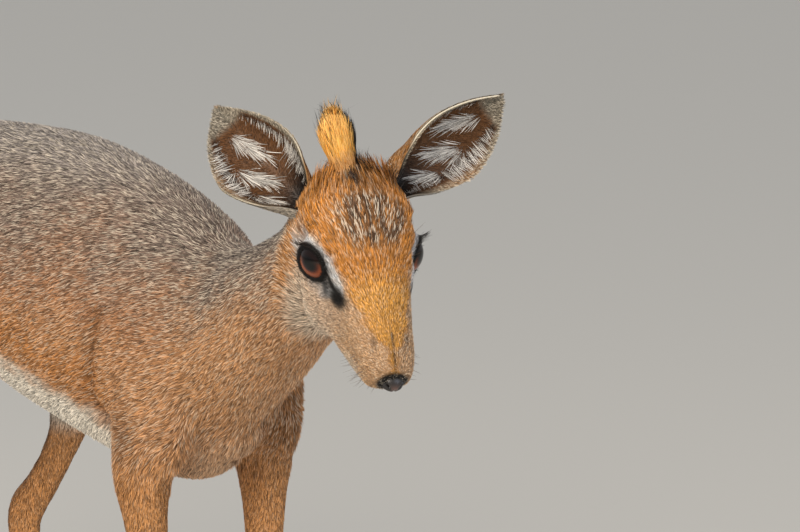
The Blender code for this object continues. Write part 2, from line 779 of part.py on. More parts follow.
def stand_on_origin(objects):
    """Puts the middle of the whole animal's box over the origin and her soles at z 0."""
    points = np.array([v.co for obj in objects for v in obj.data.vertices])
    low, high = points.min(0), points.max(0)
    shift = Matrix.Translation((-(low[0] + high[0]) / 2, -(low[1] + high[1]) / 2, -low[2]))
    for obj in objects:
        obj.data.transform(shift)


def clear_scene():
    for obj in list(bpy.data.objects):
        bpy.data.objects.remove(obj)


def main():
    clear_scene()
    part = bpy.data.collections.new("dik_dik")
    bpy.context.scene.collection.children.link(part)
    nodes = parted(fused_flesh(part), part)
    finish_head(nodes["head"])
    for side, name in ((1, "left"), (-1, "right")):
        nodes["eye_" + name] = object_from(ball(EYE_RADIUS, side), "eye_" + name, part)
        nodes["ear_" + name] = make_ear(side, "ear_" + name, part, (nodes["head"], nodes["neck"]))
    nose = object_from(nose_mass(), "nose_pad", part)
    nodes["nose_pad"] = boolean(boolean(nose, [nostril(1)]), [nostril(-1)])
    nodes["crest"] = make_crest(part, (nodes["head"], nodes["neck"]))
    nodes.update(make_hooves(part))
    for obj in nodes.values():
        finish(obj)
    stand_on_origin(list(nodes.values()))


if __name__ == "__main__":
    main()
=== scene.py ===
# %% [markdown]
# # A dik-dik in her coat
# A dik-dik is an antelope hardly bigger than a hare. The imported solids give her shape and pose.
# This lesson dresses them: one skin over all the flesh, a coat of flat tufts that lie along the
# body, ears with long white hair inside, wet dark eyes, lashes, a crest, a nose and hooves.
# The first lines load the solids as a fixed frame, so that every piece is placed by them.

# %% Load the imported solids
import math
import random

import bmesh
import bpy
import numpy as np
from mathutils import Matrix, Vector
from mathutils.bvhtree import BVHTree


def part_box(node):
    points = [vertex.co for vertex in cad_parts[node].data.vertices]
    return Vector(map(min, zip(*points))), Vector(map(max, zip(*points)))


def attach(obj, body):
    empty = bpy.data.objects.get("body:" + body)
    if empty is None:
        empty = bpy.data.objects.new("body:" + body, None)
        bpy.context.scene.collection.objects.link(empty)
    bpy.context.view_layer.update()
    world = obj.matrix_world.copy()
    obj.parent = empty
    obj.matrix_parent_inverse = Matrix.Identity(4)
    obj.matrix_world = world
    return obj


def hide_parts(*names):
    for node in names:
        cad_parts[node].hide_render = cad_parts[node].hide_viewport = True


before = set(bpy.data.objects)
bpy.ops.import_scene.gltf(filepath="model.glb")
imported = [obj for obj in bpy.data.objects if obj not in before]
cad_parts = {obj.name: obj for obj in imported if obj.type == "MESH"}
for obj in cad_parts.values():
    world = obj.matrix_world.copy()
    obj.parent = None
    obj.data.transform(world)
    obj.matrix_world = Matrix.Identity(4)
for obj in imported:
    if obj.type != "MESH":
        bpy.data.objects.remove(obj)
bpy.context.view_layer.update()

MM = 0.001
SEED = 5

# %% [markdown]
# Most of this animal's detail is on her head, and the head is turned and lowered. It is far
# easier to think along the nose than along the room, so the head gets a frame of its own in
# millimetres: x runs to the nose, y to her left, z out of the brow. The middles of the two
# packed eyes say where it sits.

# %% The head's own frame
HEAD_YAW, HEAD_PITCH = -21.5, 45.0
EYE_MM = Vector((-1.5, 21.1, 2.5))
EYE_TURN, EYE_LIFT = 57.0, 16.0


def middle(node):
    low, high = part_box(node)
    return (low + high) / 2


head_turn = (Matrix.Rotation(math.radians(HEAD_YAW), 3, "Z")
             @ Matrix.Rotation(math.radians(HEAD_PITCH), 3, "Y"))
between_eyes = (middle("eye_left") + middle("eye_right")) / 2
head_at = between_eyes - head_turn @ Vector((EYE_MM.x, 0, EYE_MM.z)) * MM
TURN = np.array(head_turn)
eye_low, eye_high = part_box("eye_left")
EYE_RADIUS_MM = max(eye_high - eye_low) / 2 / MM


def to_head(points):
    """World points, in metres, as rows of millimetres in the head's frame."""
    return (np.asarray(points, float) - np.array(head_at)) @ TURN / MM


def from_head(points):
    return np.asarray(points, float) * MM @ TURN.T + np.array(head_at)


def smooth_step(low, high, value):
    t = np.clip((value - low) / (high - low), 0, 1)
    return t * t * (3 - 2 * t)


print("head at", [round(v, 4) for v in head_at], "eye radius mm", round(EYE_RADIUS_MM, 2))

# %% [markdown]
# An antelope's eyes look sideways and a little up. Each eye has three directions: along its
# sight, to the front corner of the lids, and up. Lids, pale ring, gland spot, lashes and iris
# are all placed with them.

# %% Directions at each eye
def eye_axes(side):
    """Rows are front, up and sight, in the head's frame. side is 1 on her left, -1 on her right."""
    a, b = math.radians(EYE_TURN), math.radians(EYE_LIFT)
    sight = np.array((math.cos(b) * math.cos(a), side * math.cos(b) * math.sin(a), math.sin(b)))
    front = np.array((math.sin(a), -side * math.cos(a), 0))
    up = np.cross(front, sight) * side
    return np.array((front, up, sight))


def eye_middle(side):
    return np.array((EYE_MM.x, side * EYE_MM.y, EYE_MM.z))


LID_MIDDLE = np.array((-0.7, -1.0))
LID_HALF = np.array((8.6, 7.7))
LID_TILT = math.radians(17)


def almond(side, points):
    """How far out of the lid opening points lie, with 1 on its edge, and how far front and up, in mm."""
    q = (points - eye_middle(side)) @ eye_axes(side).T
    size = np.linalg.norm(q, axis=1) + 1e-9
    flat = q[:, :2] / size[:, None] * EYE_RADIUS_MM
    c, s = math.cos(LID_TILT), math.sin(LID_TILT)
    d = flat - LID_MIDDLE
    along, across = d[:, 0] * c - d[:, 1] * s, d[:, 0] * s + d[:, 1] * c
    power = 1.85
    rim = (np.abs(along / LID_HALF[0]) ** power + np.abs(across / LID_HALF[1]) ** power) ** (1 / power)
    return np.where(q[:, 2] > 0, rim, 9.0), q, size


print("sight of the left eye:", np.round(eye_axes(1)[2], 2))

# %% [markdown]
# One skin has to run over every solid of the flesh without a seam. The copies of the solids
# are joined, the eye sockets are filled with balls, and a voxel remesh melts all of it into one
# closed surface. Smoothing takes the facets of the solids out, most on the broad trunk and
# least on the thin legs. The face then gets smaller faces than the rest, by subdividing there.

# %% Join the flesh and melt it into one surface
LEG_PIECES = ("foreleg", "fore_cannon", "fore_pastern", "hindleg", "hind_cannon", "hind_pastern")
FLESH = ["torso", "neck", "tail", "head", "lower_jaw"]
FLESH += ["%s_%s" % (piece, side) for piece in LEG_PIECES for side in ("left", "right")]
SKIN_VOXEL = 1.7 * MM


def new_object(mesh, name):
    made = bpy.data.objects.new(name, mesh)
    bpy.context.scene.collection.objects.link(made)
    return made


def baked(obj):
    """The object with its modifiers applied, as a plain mesh."""
    graph = bpy.context.evaluated_depsgraph_get()
    mesh = bpy.data.meshes.new_from_object(obj.evaluated_get(graph))
    obj.modifiers.clear()
    obj.data = mesh
    return obj


def coordinates(mesh):
    points = np.empty(len(mesh.vertices) * 3)
    mesh.vertices.foreach_get("co", points)
    return points.reshape(-1, 3)


def normals(mesh):
    values = np.empty(len(mesh.vertices) * 3)
    mesh.vertex_normals.foreach_get("vector", values)
    return values.reshape(-1, 3)


flesh = bmesh.new()
for name in FLESH:
    flesh.from_mesh(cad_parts[name].data)
bmesh.ops.remove_doubles(flesh, verts=flesh.verts, dist=1e-6)
for side, name in ((1, "eye_left"), (-1, "eye_right")):
    ball = bmesh.ops.create_icosphere(flesh, subdivisions=4, radius=(EYE_RADIUS_MM + 0.5) * MM)
    bmesh.ops.translate(flesh, verts=ball["verts"], vec=middle(name))
snout_ball = bmesh.ops.create_icosphere(flesh, subdivisions=3, radius=6.0 * MM)
bmesh.ops.translate(flesh, verts=snout_ball["verts"], vec=Vector(from_head((71.8, 0, -2.0))))
skin_mesh = bpy.data.meshes.new("skin")
flesh.to_mesh(skin_mesh)
flesh.free()
skin = new_object(skin_mesh, "skin")
melt = skin.modifiers.new("melt", "REMESH")
melt.mode = "VOXEL"
melt.voxel_size = SKIN_VOXEL
baked(skin)

points = coordinates(skin.data)
broad = skin.vertex_groups.new(name="broad")
near_head = np.linalg.norm(points - np.array(head_at), axis=1)
share = smooth_step(0.215, 0.250, points[:, 2]) * smooth_step(0.085, 0.120, near_head)
share = np.maximum(share * smooth_step(-0.245, -0.222, points[:, 0]), 0.04)
for step in np.unique(np.round(share, 2)):
    broad.add(np.flatnonzero(np.round(share, 2) == step).tolist(), float(step), "REPLACE")
for turns, group in ((10, ""), (70, "broad")):
    even = skin.modifiers.new("even", "SMOOTH")
    even.factor = 0.5
    even.iterations = turns
    even.vertex_group = group
baked(skin)
print("skin:", len(skin.data.polygons), "faces")

# %% Finer faces on the head, finest round the eyes and the nose
def finer(mesh, wanted):
    """Cuts each face whose middle is wanted into four."""
    work = bmesh.new()
    work.from_mesh(mesh)
    centres = to_head([face.calc_center_median() for face in work.faces])
    chosen = wanted(centres)
    edges = {edge for face, take in zip(work.faces, chosen) if take for edge in face.edges}
    bmesh.ops.subdivide_edges(work, edges=list(edges), cuts=1, use_grid_fill=True)
    bmesh.ops.triangulate(work, faces=[face for face in work.faces if len(face.verts) > 4])
    work.to_mesh(mesh)
    work.free()


def on_head(h):
    behind = (h - (-30, 0, -25)) @ np.array((-0.816, 0, -0.578))
    return (behind < 4) & (np.linalg.norm(h, axis=1) < 90)


def near_features(h):
    eyes = [np.linalg.norm(h - eye_middle(side), axis=1) < 19 for side in (1, -1)]
    return eyes[0] | eyes[1] | ((h[:, 0] > 52) & (np.linalg.norm(h, axis=1) < 90))


finer(skin.data, on_head)
finer(skin.data, near_features)
relax = skin.modifiers.new("relax", "SMOOTH")
relax.factor = 0.5
relax.iterations = 4
baked(skin)
print("skin:", len(skin.data.polygons), "faces")

# %% [markdown]
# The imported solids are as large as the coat's outer surface, so the skin sinks under it by the
# depth of the coat: about two millimetres on the back, less than one on the muzzle. The length
# of the hair decides the depth, so both come from one function of where a point is.

# %% Hair length and the depth of the coat
UNDERLINE = ((-0.25, 0.27), (-0.14, 0.254), (-0.074, 0.229), (-0.02, 0.216), (0.026, 0.206), (0.06, 0.203),
             (0.09, 0.22))


def underline(x):
    return np.interp(x, [p[0] for p in UNDERLINE], [p[1] for p in UNDERLINE])


def head_share(h):
    """1 on the head, 0 from just behind it."""
    behind = (h - (-30, 0, -25)) @ np.array((-0.816, 0, -0.578))
    return smooth_step(10, -6, behind) * smooth_step(100, 88, np.linalg.norm(h, axis=1))


def hair_length(p):
    """Millimetres."""
    h = to_head(p)
    body = 5.6 - 2.3 * smooth_step(0.235, 0.190, p[:, 2]) - 1.0 * smooth_step(0.150, 0.100, p[:, 2])
    body += 3.5 * smooth_step(-0.19, -0.24, p[:, 0]) * smooth_step(0.24, 0.28, p[:, 2])
    body -= 0.4 * smooth_step(0.05, 0.03, p[:, 2])
    face = 6.4 - 2.2 * smooth_step(-5, 35, h[:, 0]) - 1.5 * smooth_step(30, 60, h[:, 0])
    face -= 0.8 * smooth_step(8, -8, h[:, 2]) * smooth_step(-20, 0, h[:, 0])
    for side in (1, -1):
        rim, _, _ = almond(side, h)
        face = face - (face - 1.7) * smooth_step(1.9, 1.15, rim)
    on = head_share(h)
    return body * (1 - on) + np.clip(face, 1.3, 7) * on


points = coordinates(skin.data)
depth = np.clip(hair_length(points) * 0.32, 0.45, 3.2) * MM
sunk = points - normals(skin.data) * depth[:, None]
print("coat depth mm:", round(depth.min() / MM, 2), "to", round(depth.max() / MM, 2))

# %% [markdown]
# Living skin slides over the muscle and folds where a limb meets the body. A shallow crease
# behind each shoulder and one between the chest and the far shoulder are sunk into the skin.
# Each is a bent line, and a point sinks the more the nearer it lies to the line.

# %% Folds of the shoulder and the chest
MIDDLE_Y = 0.0067
SHOULDER_FOLD = np.array([(0.026, 0.300), (0.021, 0.280), (0.014, 0.250), (0.028, 0.226)])
CHEST_FOLD = np.array([(0.145, 0.008, 0.281), (0.116, 0.014, 0.260), (0.100, 0.015, 0.245),
                       (0.074, 0.019, 0.221)])


def from_line(p, line):
    """How far points lie from a bent line, in metres."""
    nearest = np.full(len(p), 9.0)
    for a, b in zip(line, line[1:]):
        t = np.clip((p - a) @ (b - a) / ((b - a) @ (b - a)), 0, 1)
        nearest = np.minimum(nearest, np.linalg.norm(p - a - t[:, None] * (b - a), axis=1))
    return nearest


def folds(p):
    """Metres to sink each point: a crease behind each shoulder, and one between chest and far shoulder."""
    behind = (np.exp(-((from_line(p[:, [0, 2]], SHOULDER_FOLD) / (5.5 * MM)) ** 2))
              * (np.abs(p[:, 1] - MIDDLE_Y) > 0.025))
    chest = np.exp(-((from_line(p, CHEST_FOLD) / (4.0 * MM)) ** 2))
    return (3.0 * behind + 4.0 * chest) * MM


sunk -= normals(skin.data) * folds(points)[:, None]
print("deepest fold mm:", round(folds(points).max() / MM, 1))

# %% [markdown]
# The face is modelled by moving points. Lids are the hard part: everything inside an almond
# over each eyeball is pushed in behind the ball, and just outside it the skin rises to a rounded
# rim, so that the wet ball sits in an opening with real thickness. Small dents make the gland
# pit in front of the eye, the corner of the mouth, and the crease along the snout.

# %% Lids, gland pits, mouth and snout
def dent(h, centre, radii, deep):
    """How much a soft oval pit lowers each point, in mm."""
    d = ((h - np.array(centre)) / np.array(radii)) ** 2
    return deep * np.exp(-d.sum(1))


h = to_head(sunk)
outward = normals(skin.data) @ TURN
for side in (1, -1):
    rim, q, size = almond(side, h)
    near = smooth_step(2.0, 1.25, rim)
    lid = EYE_RADIUS_MM + 0.35 + 0.75 * np.exp(-((rim - 1.14) / 0.13) ** 2)
    wanted = np.where(rim < 1, EYE_RADIUS_MM - 2.6 + 2.9 * smooth_step(0.82, 1.0, rim),
                      np.maximum(lid, size * (1 - near)))
    target = np.where(rim < 1.02, wanted, size + (wanted - size) * near)
    moves = (rim < 2.0) & (size < 20)
    h[moves] = eye_middle(side) + (q[moves] / size[moves, None] * target[moves, None]) @ eye_axes(side)
    pit = dent(h, (27.5, 19.5 * side, 5.0), (5.5, 4.5, 3.4), 1.3)
    duct = dent(h, (17.5, 22.5 * side, 6.5), (7.0, 5.0, 2.0), 0.7)
    brow = dent(h, (-2.0, 21.0 * side, 19.0), (12.0, 6.0, 5.0), -1.3)
    temple = dent(h, (-22, 29 * side, 6), (10, 8, 8), 1.2)
    crease = dent(h, (62, 8.4 * side, 7.5), (8.0, 2.0, 3.6), 0.7)
    lip = dent(h, (65, 9.5 * side, -10.5), (9.0, 4.0, 3.0), -0.6)
    h -= outward * (pit + duct + brow + temple + crease + lip)[:, None]
seam = np.abs(h[:, 2] - (-13.1 + 0.16 * (h[:, 0] - 60))) / 0.9
mouth = 1.1 * np.exp(-seam**2) * smooth_step(30, 38, h[:, 0]) * (outward[:, 2] < 0.5)
bridge = dent(h, (66, 0.4, 11), (9.5, 0.9, 8), 0.8)
h -= outward * (mouth + bridge)[:, None]
skin.data.vertices.foreach_set("co", from_head(h).ravel())
skin.data.update()
print("face modelled:", len(h), "points")

# %% [markdown]
# The markings are one function of the place on the body, so that skin and coat always agree.
# The back is grey flecked with dark brown, the flanks and neck tan, the legs orange, the belly
# cream. The brow is orange with a dark streaked patch, the eyes are black with a pale ring and
# a black spot in front, and the muzzle is pale. The same function paints shade into the creases,
# at the elbows, on the backs of the hind legs and on the far shoulder under the chest, and a pale
# painted highlight along the top of the back. Colours are given as sRGB hex and made linear.

# %% Colours and the marking function
def colour(text):
    """A hex sRGB colour as linear red, green and blue."""
    values = np.array([int(text[i : i + 2], 16) for i in (1, 3, 5)]) / 255
    return np.where(values <= 0.04045, values / 12.92, ((values + 0.055) / 1.055) ** 2.4)


GREY_BACK = colour("#908075")
TAN_FLANK = colour("#BC8458")
TAN_NECK = colour("#CF9A6A")
LEG_ORANGE = colour("#CB9058")
BELLY_CREAM = colour("#F0E7D8")
BROW_ORANGE = colour("#CC8638")
SNOUT_ORANGE = colour("#EAAA50")
MUZZLE_BEIGE = colour("#DEB184")
CHEEK_BEIGE = colour("#E3C2A4")
RING_WHITE = colour("#DFE2E6")
LID_BLACK = colour("#120E0C")
STREAK_BROWN = colour("#5B3E26")
PATCH_BROWN = colour("#76553A")
THROAT_CREAM = colour("#E4CFB6")
PAINTED_SHADE_BROWN = colour("#6B4A33")


def waves(p, size, seed):
    """Soft seeded noise between -1 and 1, with bumps about size metres across."""
    dice = np.random.default_rng(seed)
    total = np.zeros(len(p))
    for _ in range(7):
        direction = dice.normal(size=3)
        direction *= 2 * math.pi / size / np.linalg.norm(direction) * dice.uniform(0.7, 1.5)
        total += np.sin(p @ direction + dice.uniform(0, 6.28))
    return total / 3.2


def mixed(base, other, share):
    return base + (other - base) * np.clip(share, 0, 1)[:, None]


def oval(h, centre, radii, edge=0.25):
    """1 inside an oval of the head's frame, 0 outside, soft at the edge."""
    d = np.sqrt((((h - np.array(centre)) / np.array(radii)) ** 2).sum(1))
    return smooth_step(1 + edge, 1 - edge, d)


def markings_and_shade(p, n):
    """Linear colour, painted shade and highlight included, and fleck strength of points p with outward normals
    n.
    """
    h = to_head(p)
    x, z = p[:, 0], p[:, 2]
    wander = waves(p, 0.05, 3) * 0.006 + waves(p, 0.012, 4) * 0.006
    high = (z - np.interp(x, (0.0, 0.045, 0.076, 0.117, 0.155, 0.186, 0.205),
                          (0.327, 0.320, 0.312, 0.318, 0.332, 0.344, 0.354)) + wander)
    reach = np.interp(x, (0.02, 0.12), (0.046, 0.026))
    grey = smooth_step(-reach, reach, high)
    tint = mixed(np.tile(TAN_FLANK, (len(p), 1)), TAN_NECK, smooth_step(0.05, 0.12, x) * 0.9)
    tint = mixed(tint, TAN_NECK, smooth_step(-0.015, -0.05, high) * 0.6)
    legs = smooth_step(0.240, 0.205, z + 0.4 * wander)
    tint = mixed(tint, LEG_ORANGE, legs)
    tint = mixed(tint, GREY_BACK, grey)
    # Painted highlight: the top of the back is paled to a grey-blue, where the sky lights it.
    tint = mixed(tint, colour("#C3BEB9"), smooth_step(0.352, 0.382, z) * (x < 0.12) * 0.5)
    above_belly = z - underline(x) + wander * 0.5
    along_belly = (smooth_step(0.050, 0.015, x) * smooth_step(-0.235, -0.20, x)
                   * (np.abs(p[:, 1] - MIDDLE_Y) < 0.060))
    tint = mixed(tint, colour("#C98646"),
                 smooth_step(0.080, 0.050, above_belly) * along_belly * (x > -0.08) * 0.7)
    cream = smooth_step(0.042, 0.026, above_belly) * smooth_step(0.196, 0.214, z) * along_belly
    outer = n[:, 1] * np.sign(p[:, 1] - MIDDLE_Y)
    cream *= 1 - smooth_step(-0.075, -0.105, x) * smooth_step(-0.15, 0.35, outer)
    tint = mixed(tint, BELLY_CREAM, cream)
    brisket = smooth_step(0.030, 0.012, np.abs(p[:, 1] - 0.005)) * smooth_step(0.250, 0.215, z) * (x > 0.04)
    tint = mixed(tint, THROAT_CREAM, brisket * 0.35)
    rump = smooth_step(-0.262, -0.275, x + 0.25 * (z - 0.30)) * smooth_step(0.20, 0.26, z) * (n[:, 0] < 0)
    tint = mixed(tint, BELLY_CREAM, rump * (z < 0.315))
    # Painted shade: a dark brown oval at each elbow, where the foreleg meets the body.
    elbow_shade = (np.exp(-(((x - 0.056) / 0.010) ** 2 + ((z - 0.238) / 0.013) ** 2))
             * (np.abs(p[:, 1] - MIDDLE_Y) > 0.03))
    tint = mixed(tint, PAINTED_SHADE_BROWN, elbow_shade * 0.6)
    # Painted shade: the backs of the hind legs, which face away from the lamps, are darkened brown.
    behind_hind_shade = (smooth_step(0.0, -0.7, n[:, 0]) * smooth_step(-0.05, -0.08, x)
                   * smooth_step(0.235, 0.205, z))
    tint = mixed(tint, PAINTED_SHADE_BROWN, behind_hind_shade * 0.65)
    # Painted shadow: the far shoulder is darkened orange-brown where the chest hides it.
    far_shoulder_shadow = np.exp(-((np.linalg.norm(p - (0.090, 0.038, 0.246), axis=1) / 0.026) ** 2))
    tint = mixed(tint, colour("#83501F"), far_shoulder_shadow * 0.75)
    # Painted shade: the sunk creases behind the shoulders and between the chest and the far shoulder are
    # darkened brown.
    fold = folds(p) / (4.0 * MM)
    tint = mixed(tint, colour("#7E4C24"), fold * 0.65)
    feet = smooth_step(0.050, 0.020, z)
    tint = mixed(tint, colour("#8A6038"), feet * 0.6)
    fleck = np.clip(0.50 + 0.25 * grey + 0.2 * grey * smooth_step(0.03, 0.12, x)
                    - 0.32 * legs - 0.42 * cream, 0.06, 1)

    across = np.abs(h[:, 1])
    face = np.tile(CHEEK_BEIGE, (len(p), 1))
    face = mixed(face, MUZZLE_BEIGE, smooth_step(18, 48, h[:, 0]))
    top_width = np.interp(h[:, 0], (-45, -20, -6, 1, 7, 14, 20, 26, 37, 45, 52, 58, 64),
                          (32, 31, 27.2, 25, 22.3, 20.3, 18.5, 16.6, 13.4, 10.8, 9.5, 6.0, 2.0))
    top = smooth_step(2.2, -2.2, across - top_width + waves(p, 0.010, 9) * 1.2) * smooth_step(-6, 6, h[:, 2])
    face = mixed(face, BROW_ORANGE, top)
    face = mixed(face, SNOUT_ORANGE, top * smooth_step(18, 38, h[:, 0]))
    nape = smooth_step(-10, -20, h[:, 0] + 0.25 * (h[:, 2] + 20))
    face = mixed(face, colour("#C3843F"), nape * 0.9)
    jaw_edge = smooth_step(-14, -30, h[:, 2]) * smooth_step(-16, -4, h[:, 0])
    face = mixed(face, colour("#EFDDC8"), jaw_edge * 0.7)
    face = mixed(face, THROAT_CREAM, smooth_step(-12, -17, h[:, 2]) * smooth_step(40, 52, h[:, 0]) * 0.8)
    patch = oval(h, (-3, 0, 27), (16.0, 20.5, 10), 0.30)
    streaks = np.clip(waves(h * (0.25, 1, 1) * MM, 0.0060, 21) * 0.6 + 0.7, 0, 1)
    face = mixed(face, PATCH_BROWN, patch * streaks)
    streak_at = 0.78 * (h[:, 0] + 30) + 0.62 * (h[:, 1] + 5)
    off_streak = 0.62 * (h[:, 0] + 30) - 0.78 * (h[:, 1] + 5)
    crown = (smooth_step(5.0, 2.0, np.abs(off_streak)) * smooth_step(-22, -14, streak_at)
             * smooth_step(12, 6, streak_at))
    crown = (np.maximum(crown, smooth_step(-16, -24, h[:, 0]) * smooth_step(18, 8, across) * streaks * 0.5)
             * (h[:, 2] > 12))
    face = mixed(face, colour("#2C1D14"), crown)
    line = (np.exp(-(((h[:, 1] - 0.6) / 0.75) ** 2)) * smooth_step(53, 57, h[:, 0])
            * smooth_step(75, 70, h[:, 0]))
    face = mixed(face, colour("#3C281B"), line * (h[:, 2] > 2) * 0.9)
    snip = np.exp(-(((h[:, 0] - 58) / 3.5) ** 2 + ((across - 8.6) / 1.6) ** 2)) * (h[:, 2] > 4)
    face = mixed(face, STREAK_BROWN, snip * 0.6)
    fleck_face = 0.80 - 0.42 * top - 0.1 * nape
    fleck_face = np.maximum(fleck_face, patch * 0.95)
    for s in (1, -1):
        rim, q, _ = almond(s, h)
        f, up = q[:, 0], q[:, 1]
        mine = (h[:, 1] * s > 0) & (q[:, 2] > -6)
        upper = np.interp(f, (-20, -14.7, -7, 0, 6.5, 13.4, 19, 24.7, 29),
                          (-3, 3.0, 9.2, 10.6, 9.8, 9.4, 8.0, 5.9, 2.4))
        lower = np.interp(f, (-20, -12, -6, 0, 8, 14, 19, 25, 31),
                          (-2, -10, -14, -15.5, -15.5, -13, -8, -1, 3))
        ring = smooth_step(0.9, -0.9, up - upper) * smooth_step(-2.6, 2.6, up - lower)
        ring *= smooth_step(-19, -14, f) * smooth_step(30, 27.5, f) * mine
        ring *= 0.86 + 0.14 * np.clip(waves(h * MM, 0.004, 41), -1, 1)
        face = mixed(face, RING_WHITE, ring * (1 - 0.35 * smooth_step(-4, -9, up)))
        fleck_face = fleck_face * (1 - ring * 0.7)
        spot = ((f - 24.8) / 7.8) ** 2 + ((up + 1.7 - 0.12 * (f - 24.8)) / 6.0) ** 2
        spot = np.exp(-(spot**3)) * mine
        duct = (np.exp(-((((up - 1.6 + 0.12 * (f - 10)) / 2.7) ** 2) ** 2)) * smooth_step(5, 8, f)
                * smooth_step(26, 22, f) * mine)
        black = np.maximum(smooth_step(1.34, 1.18, rim) * mine, np.maximum(spot, duct))
        face = mixed(face, LID_BLACK, black)
        fleck_face = fleck_face * (1 - black)
    dark_nose = smooth_step(9.4, 7.2, np.linalg.norm((h - (75.6, 0, -2.2)) * (1, 1, 1.1), axis=1))
    face = mixed(face, LID_BLACK, dark_nose)
    on = head_share(h)
    return tint * (1 - on[:, None]) + face * on[:, None], fleck * (1 - on) + np.clip(fleck_face, 0, 1) * on


def put(mesh, name, kind, values, domain="POINT"):
    """Stores an attribute on the mesh, one value a point."""
    field = {"FLOAT": "value", "FLOAT_VECTOR": "vector", "FLOAT_COLOR": "color", "FLOAT2": "vector"}[kind]
    layer = mesh.attributes.get(name) or mesh.attributes.new(name, kind, domain)
    layer.data.foreach_set(field, np.ascontiguousarray(values, np.float32).ravel())


def paint(mesh, tint):
    """Stores linear colours as the coat attribute."""
    put(mesh, "coat", "FLOAT_COLOR", np.column_stack((tint, np.ones(len(tint)))))


points, outward = coordinates(skin.data), normals(skin.data)
tint, fleck = markings_and_shade(points, outward)
paint(skin.data, tint)
put(skin.data, "fleck", "FLOAT", fleck)
print("markings on", len(points), "points")

# %% [markdown]
# Hair on an antelope lies flat and runs from the nose back over the head, along the trunk to
# the tail and down the legs. A vector on each point of the skin says which way it lies there.

# %% Which way the hair lies
def lie(p, n):
    h = to_head(p)
    trunk = np.tile((-1.0, 0.0, -0.42), (len(p), 1))
    neck = smooth_step(0.085, 0.115, p[:, 0])[:, None]
    way = trunk * (1 - neck) + np.array((-0.80, 0.14, -0.58)) * neck
    down = smooth_step(0.250, 0.205, p[:, 2])[:, None]
    way = way * (1 - down) + np.array((-0.14, 0.0, -1.0)) * down
    back = smooth_step(-0.255, -0.268, p[:, 0])[:, None]
    way = way * (1 - back) + np.array((-0.3, 0.0, -1.0)) * back
    face = np.column_stack((-np.ones(len(p)), 0.012 * h[:, 1], -0.10 + 0 * h[:, 0]))
    for side in (1, -1):
        rim, q, size = almond(side, h)
        away = (q / size[:, None]) @ eye_axes(side)
        face += away * (0.9 * smooth_step(1.9, 1.0, rim))[:, None]
    to_crest = np.array((-47.0, -5.0, 26.0)) - h
    to_crest /= np.linalg.norm(to_crest, axis=1)[:, None] + 1e-9
    face += to_crest * (1.2 * smooth_step(-8, -24, h[:, 0]) * smooth_step(0, 12, h[:, 2]))[:, None]
    on = head_share(h)[:, None]
    way = way * (1 - on) + (face @ TURN.T) * on
    for size, share in ((0.022, 0.14), (0.009, 0.11)):
        way += np.column_stack([waves(p, size, seed) for seed in (31, 32, 33)]) * share * (1 - 0.5 * on)
    way -= (way * n).sum(1)[:, None] * n
    return way / (np.linalg.norm(way, axis=1)[:, None] + 1e-9)


put(skin.data, "lie", "FLOAT_VECTOR", lie(points, outward))
put(skin.data, "hair", "FLOAT", hair_length(points) * MM)
print("hair lies along the body from nose to tail")

# %% [markdown]
# Before the coat can be planted, the skin needs a flat map of its own surface, on which its
# colours can be stored. Each tuft takes a small patch of that map, at the place of its root.

# %% Unwrap the skin
def unwrap(obj, angle):
    bpy.ops.object.select_all(action="DESELECT")
    bpy.context.view_layer.objects.active = obj
    obj.select_set(True)
    obj.data.uv_layers.new(name="OFBake")
    bpy.ops.object.mode_set(mode="EDIT")
    bpy.ops.mesh.select_all(action="SELECT")
    bpy.ops.uv.smart_project(angle_limit=math.radians(angle), island_margin=0.002)
    bpy.ops.object.mode_set(mode="OBJECT")
    obj.select_set(False)


unwrap(skin, 75)
skin.data.shade_smooth()
print("map made:", skin.data.uv_layers[0].name)

# %% [markdown]
# Hair is keratin: matt, a little silky along its length. One function adds a node to any node
# tree, with its settings, values and links. The coat's material reads the marking from the
# coat itself, makes each tuft a little lighter or darker, dark at the root and bright at the
# tip, and on flecked areas gives some tufts dark ends and others pale ones, as agouti hair has.

# %% One function for every node, and the hair material
def add(tree, kind, inputs=None, **settings):
    """Adds a node, its kind named without ShaderNode and the like. A node as an input is its first output."""
    starts = ("ShaderNode", "GeometryNode", "FunctionNode", "")
    node = tree.nodes.new(next(start + kind for start in starts if hasattr(bpy.types, start + kind)))
    for name, value in settings.items():
        setattr(node, name, value)
    for name, value in (inputs or {}).items():
        value = value.outputs[0] if isinstance(value, bpy.types.Node) else value
        if isinstance(value, bpy.types.NodeSocket):
            tree.links.new(value, node.inputs[name])
        else:
            node.inputs[name].default_value = value
    return node


def new_material(name):
    material = bpy.data.materials.new(name)
    material.use_nodes = True
    material.node_tree.nodes.clear()
    return material, material.node_tree


def rgba(text):
    return (*colour(text), 1.0)


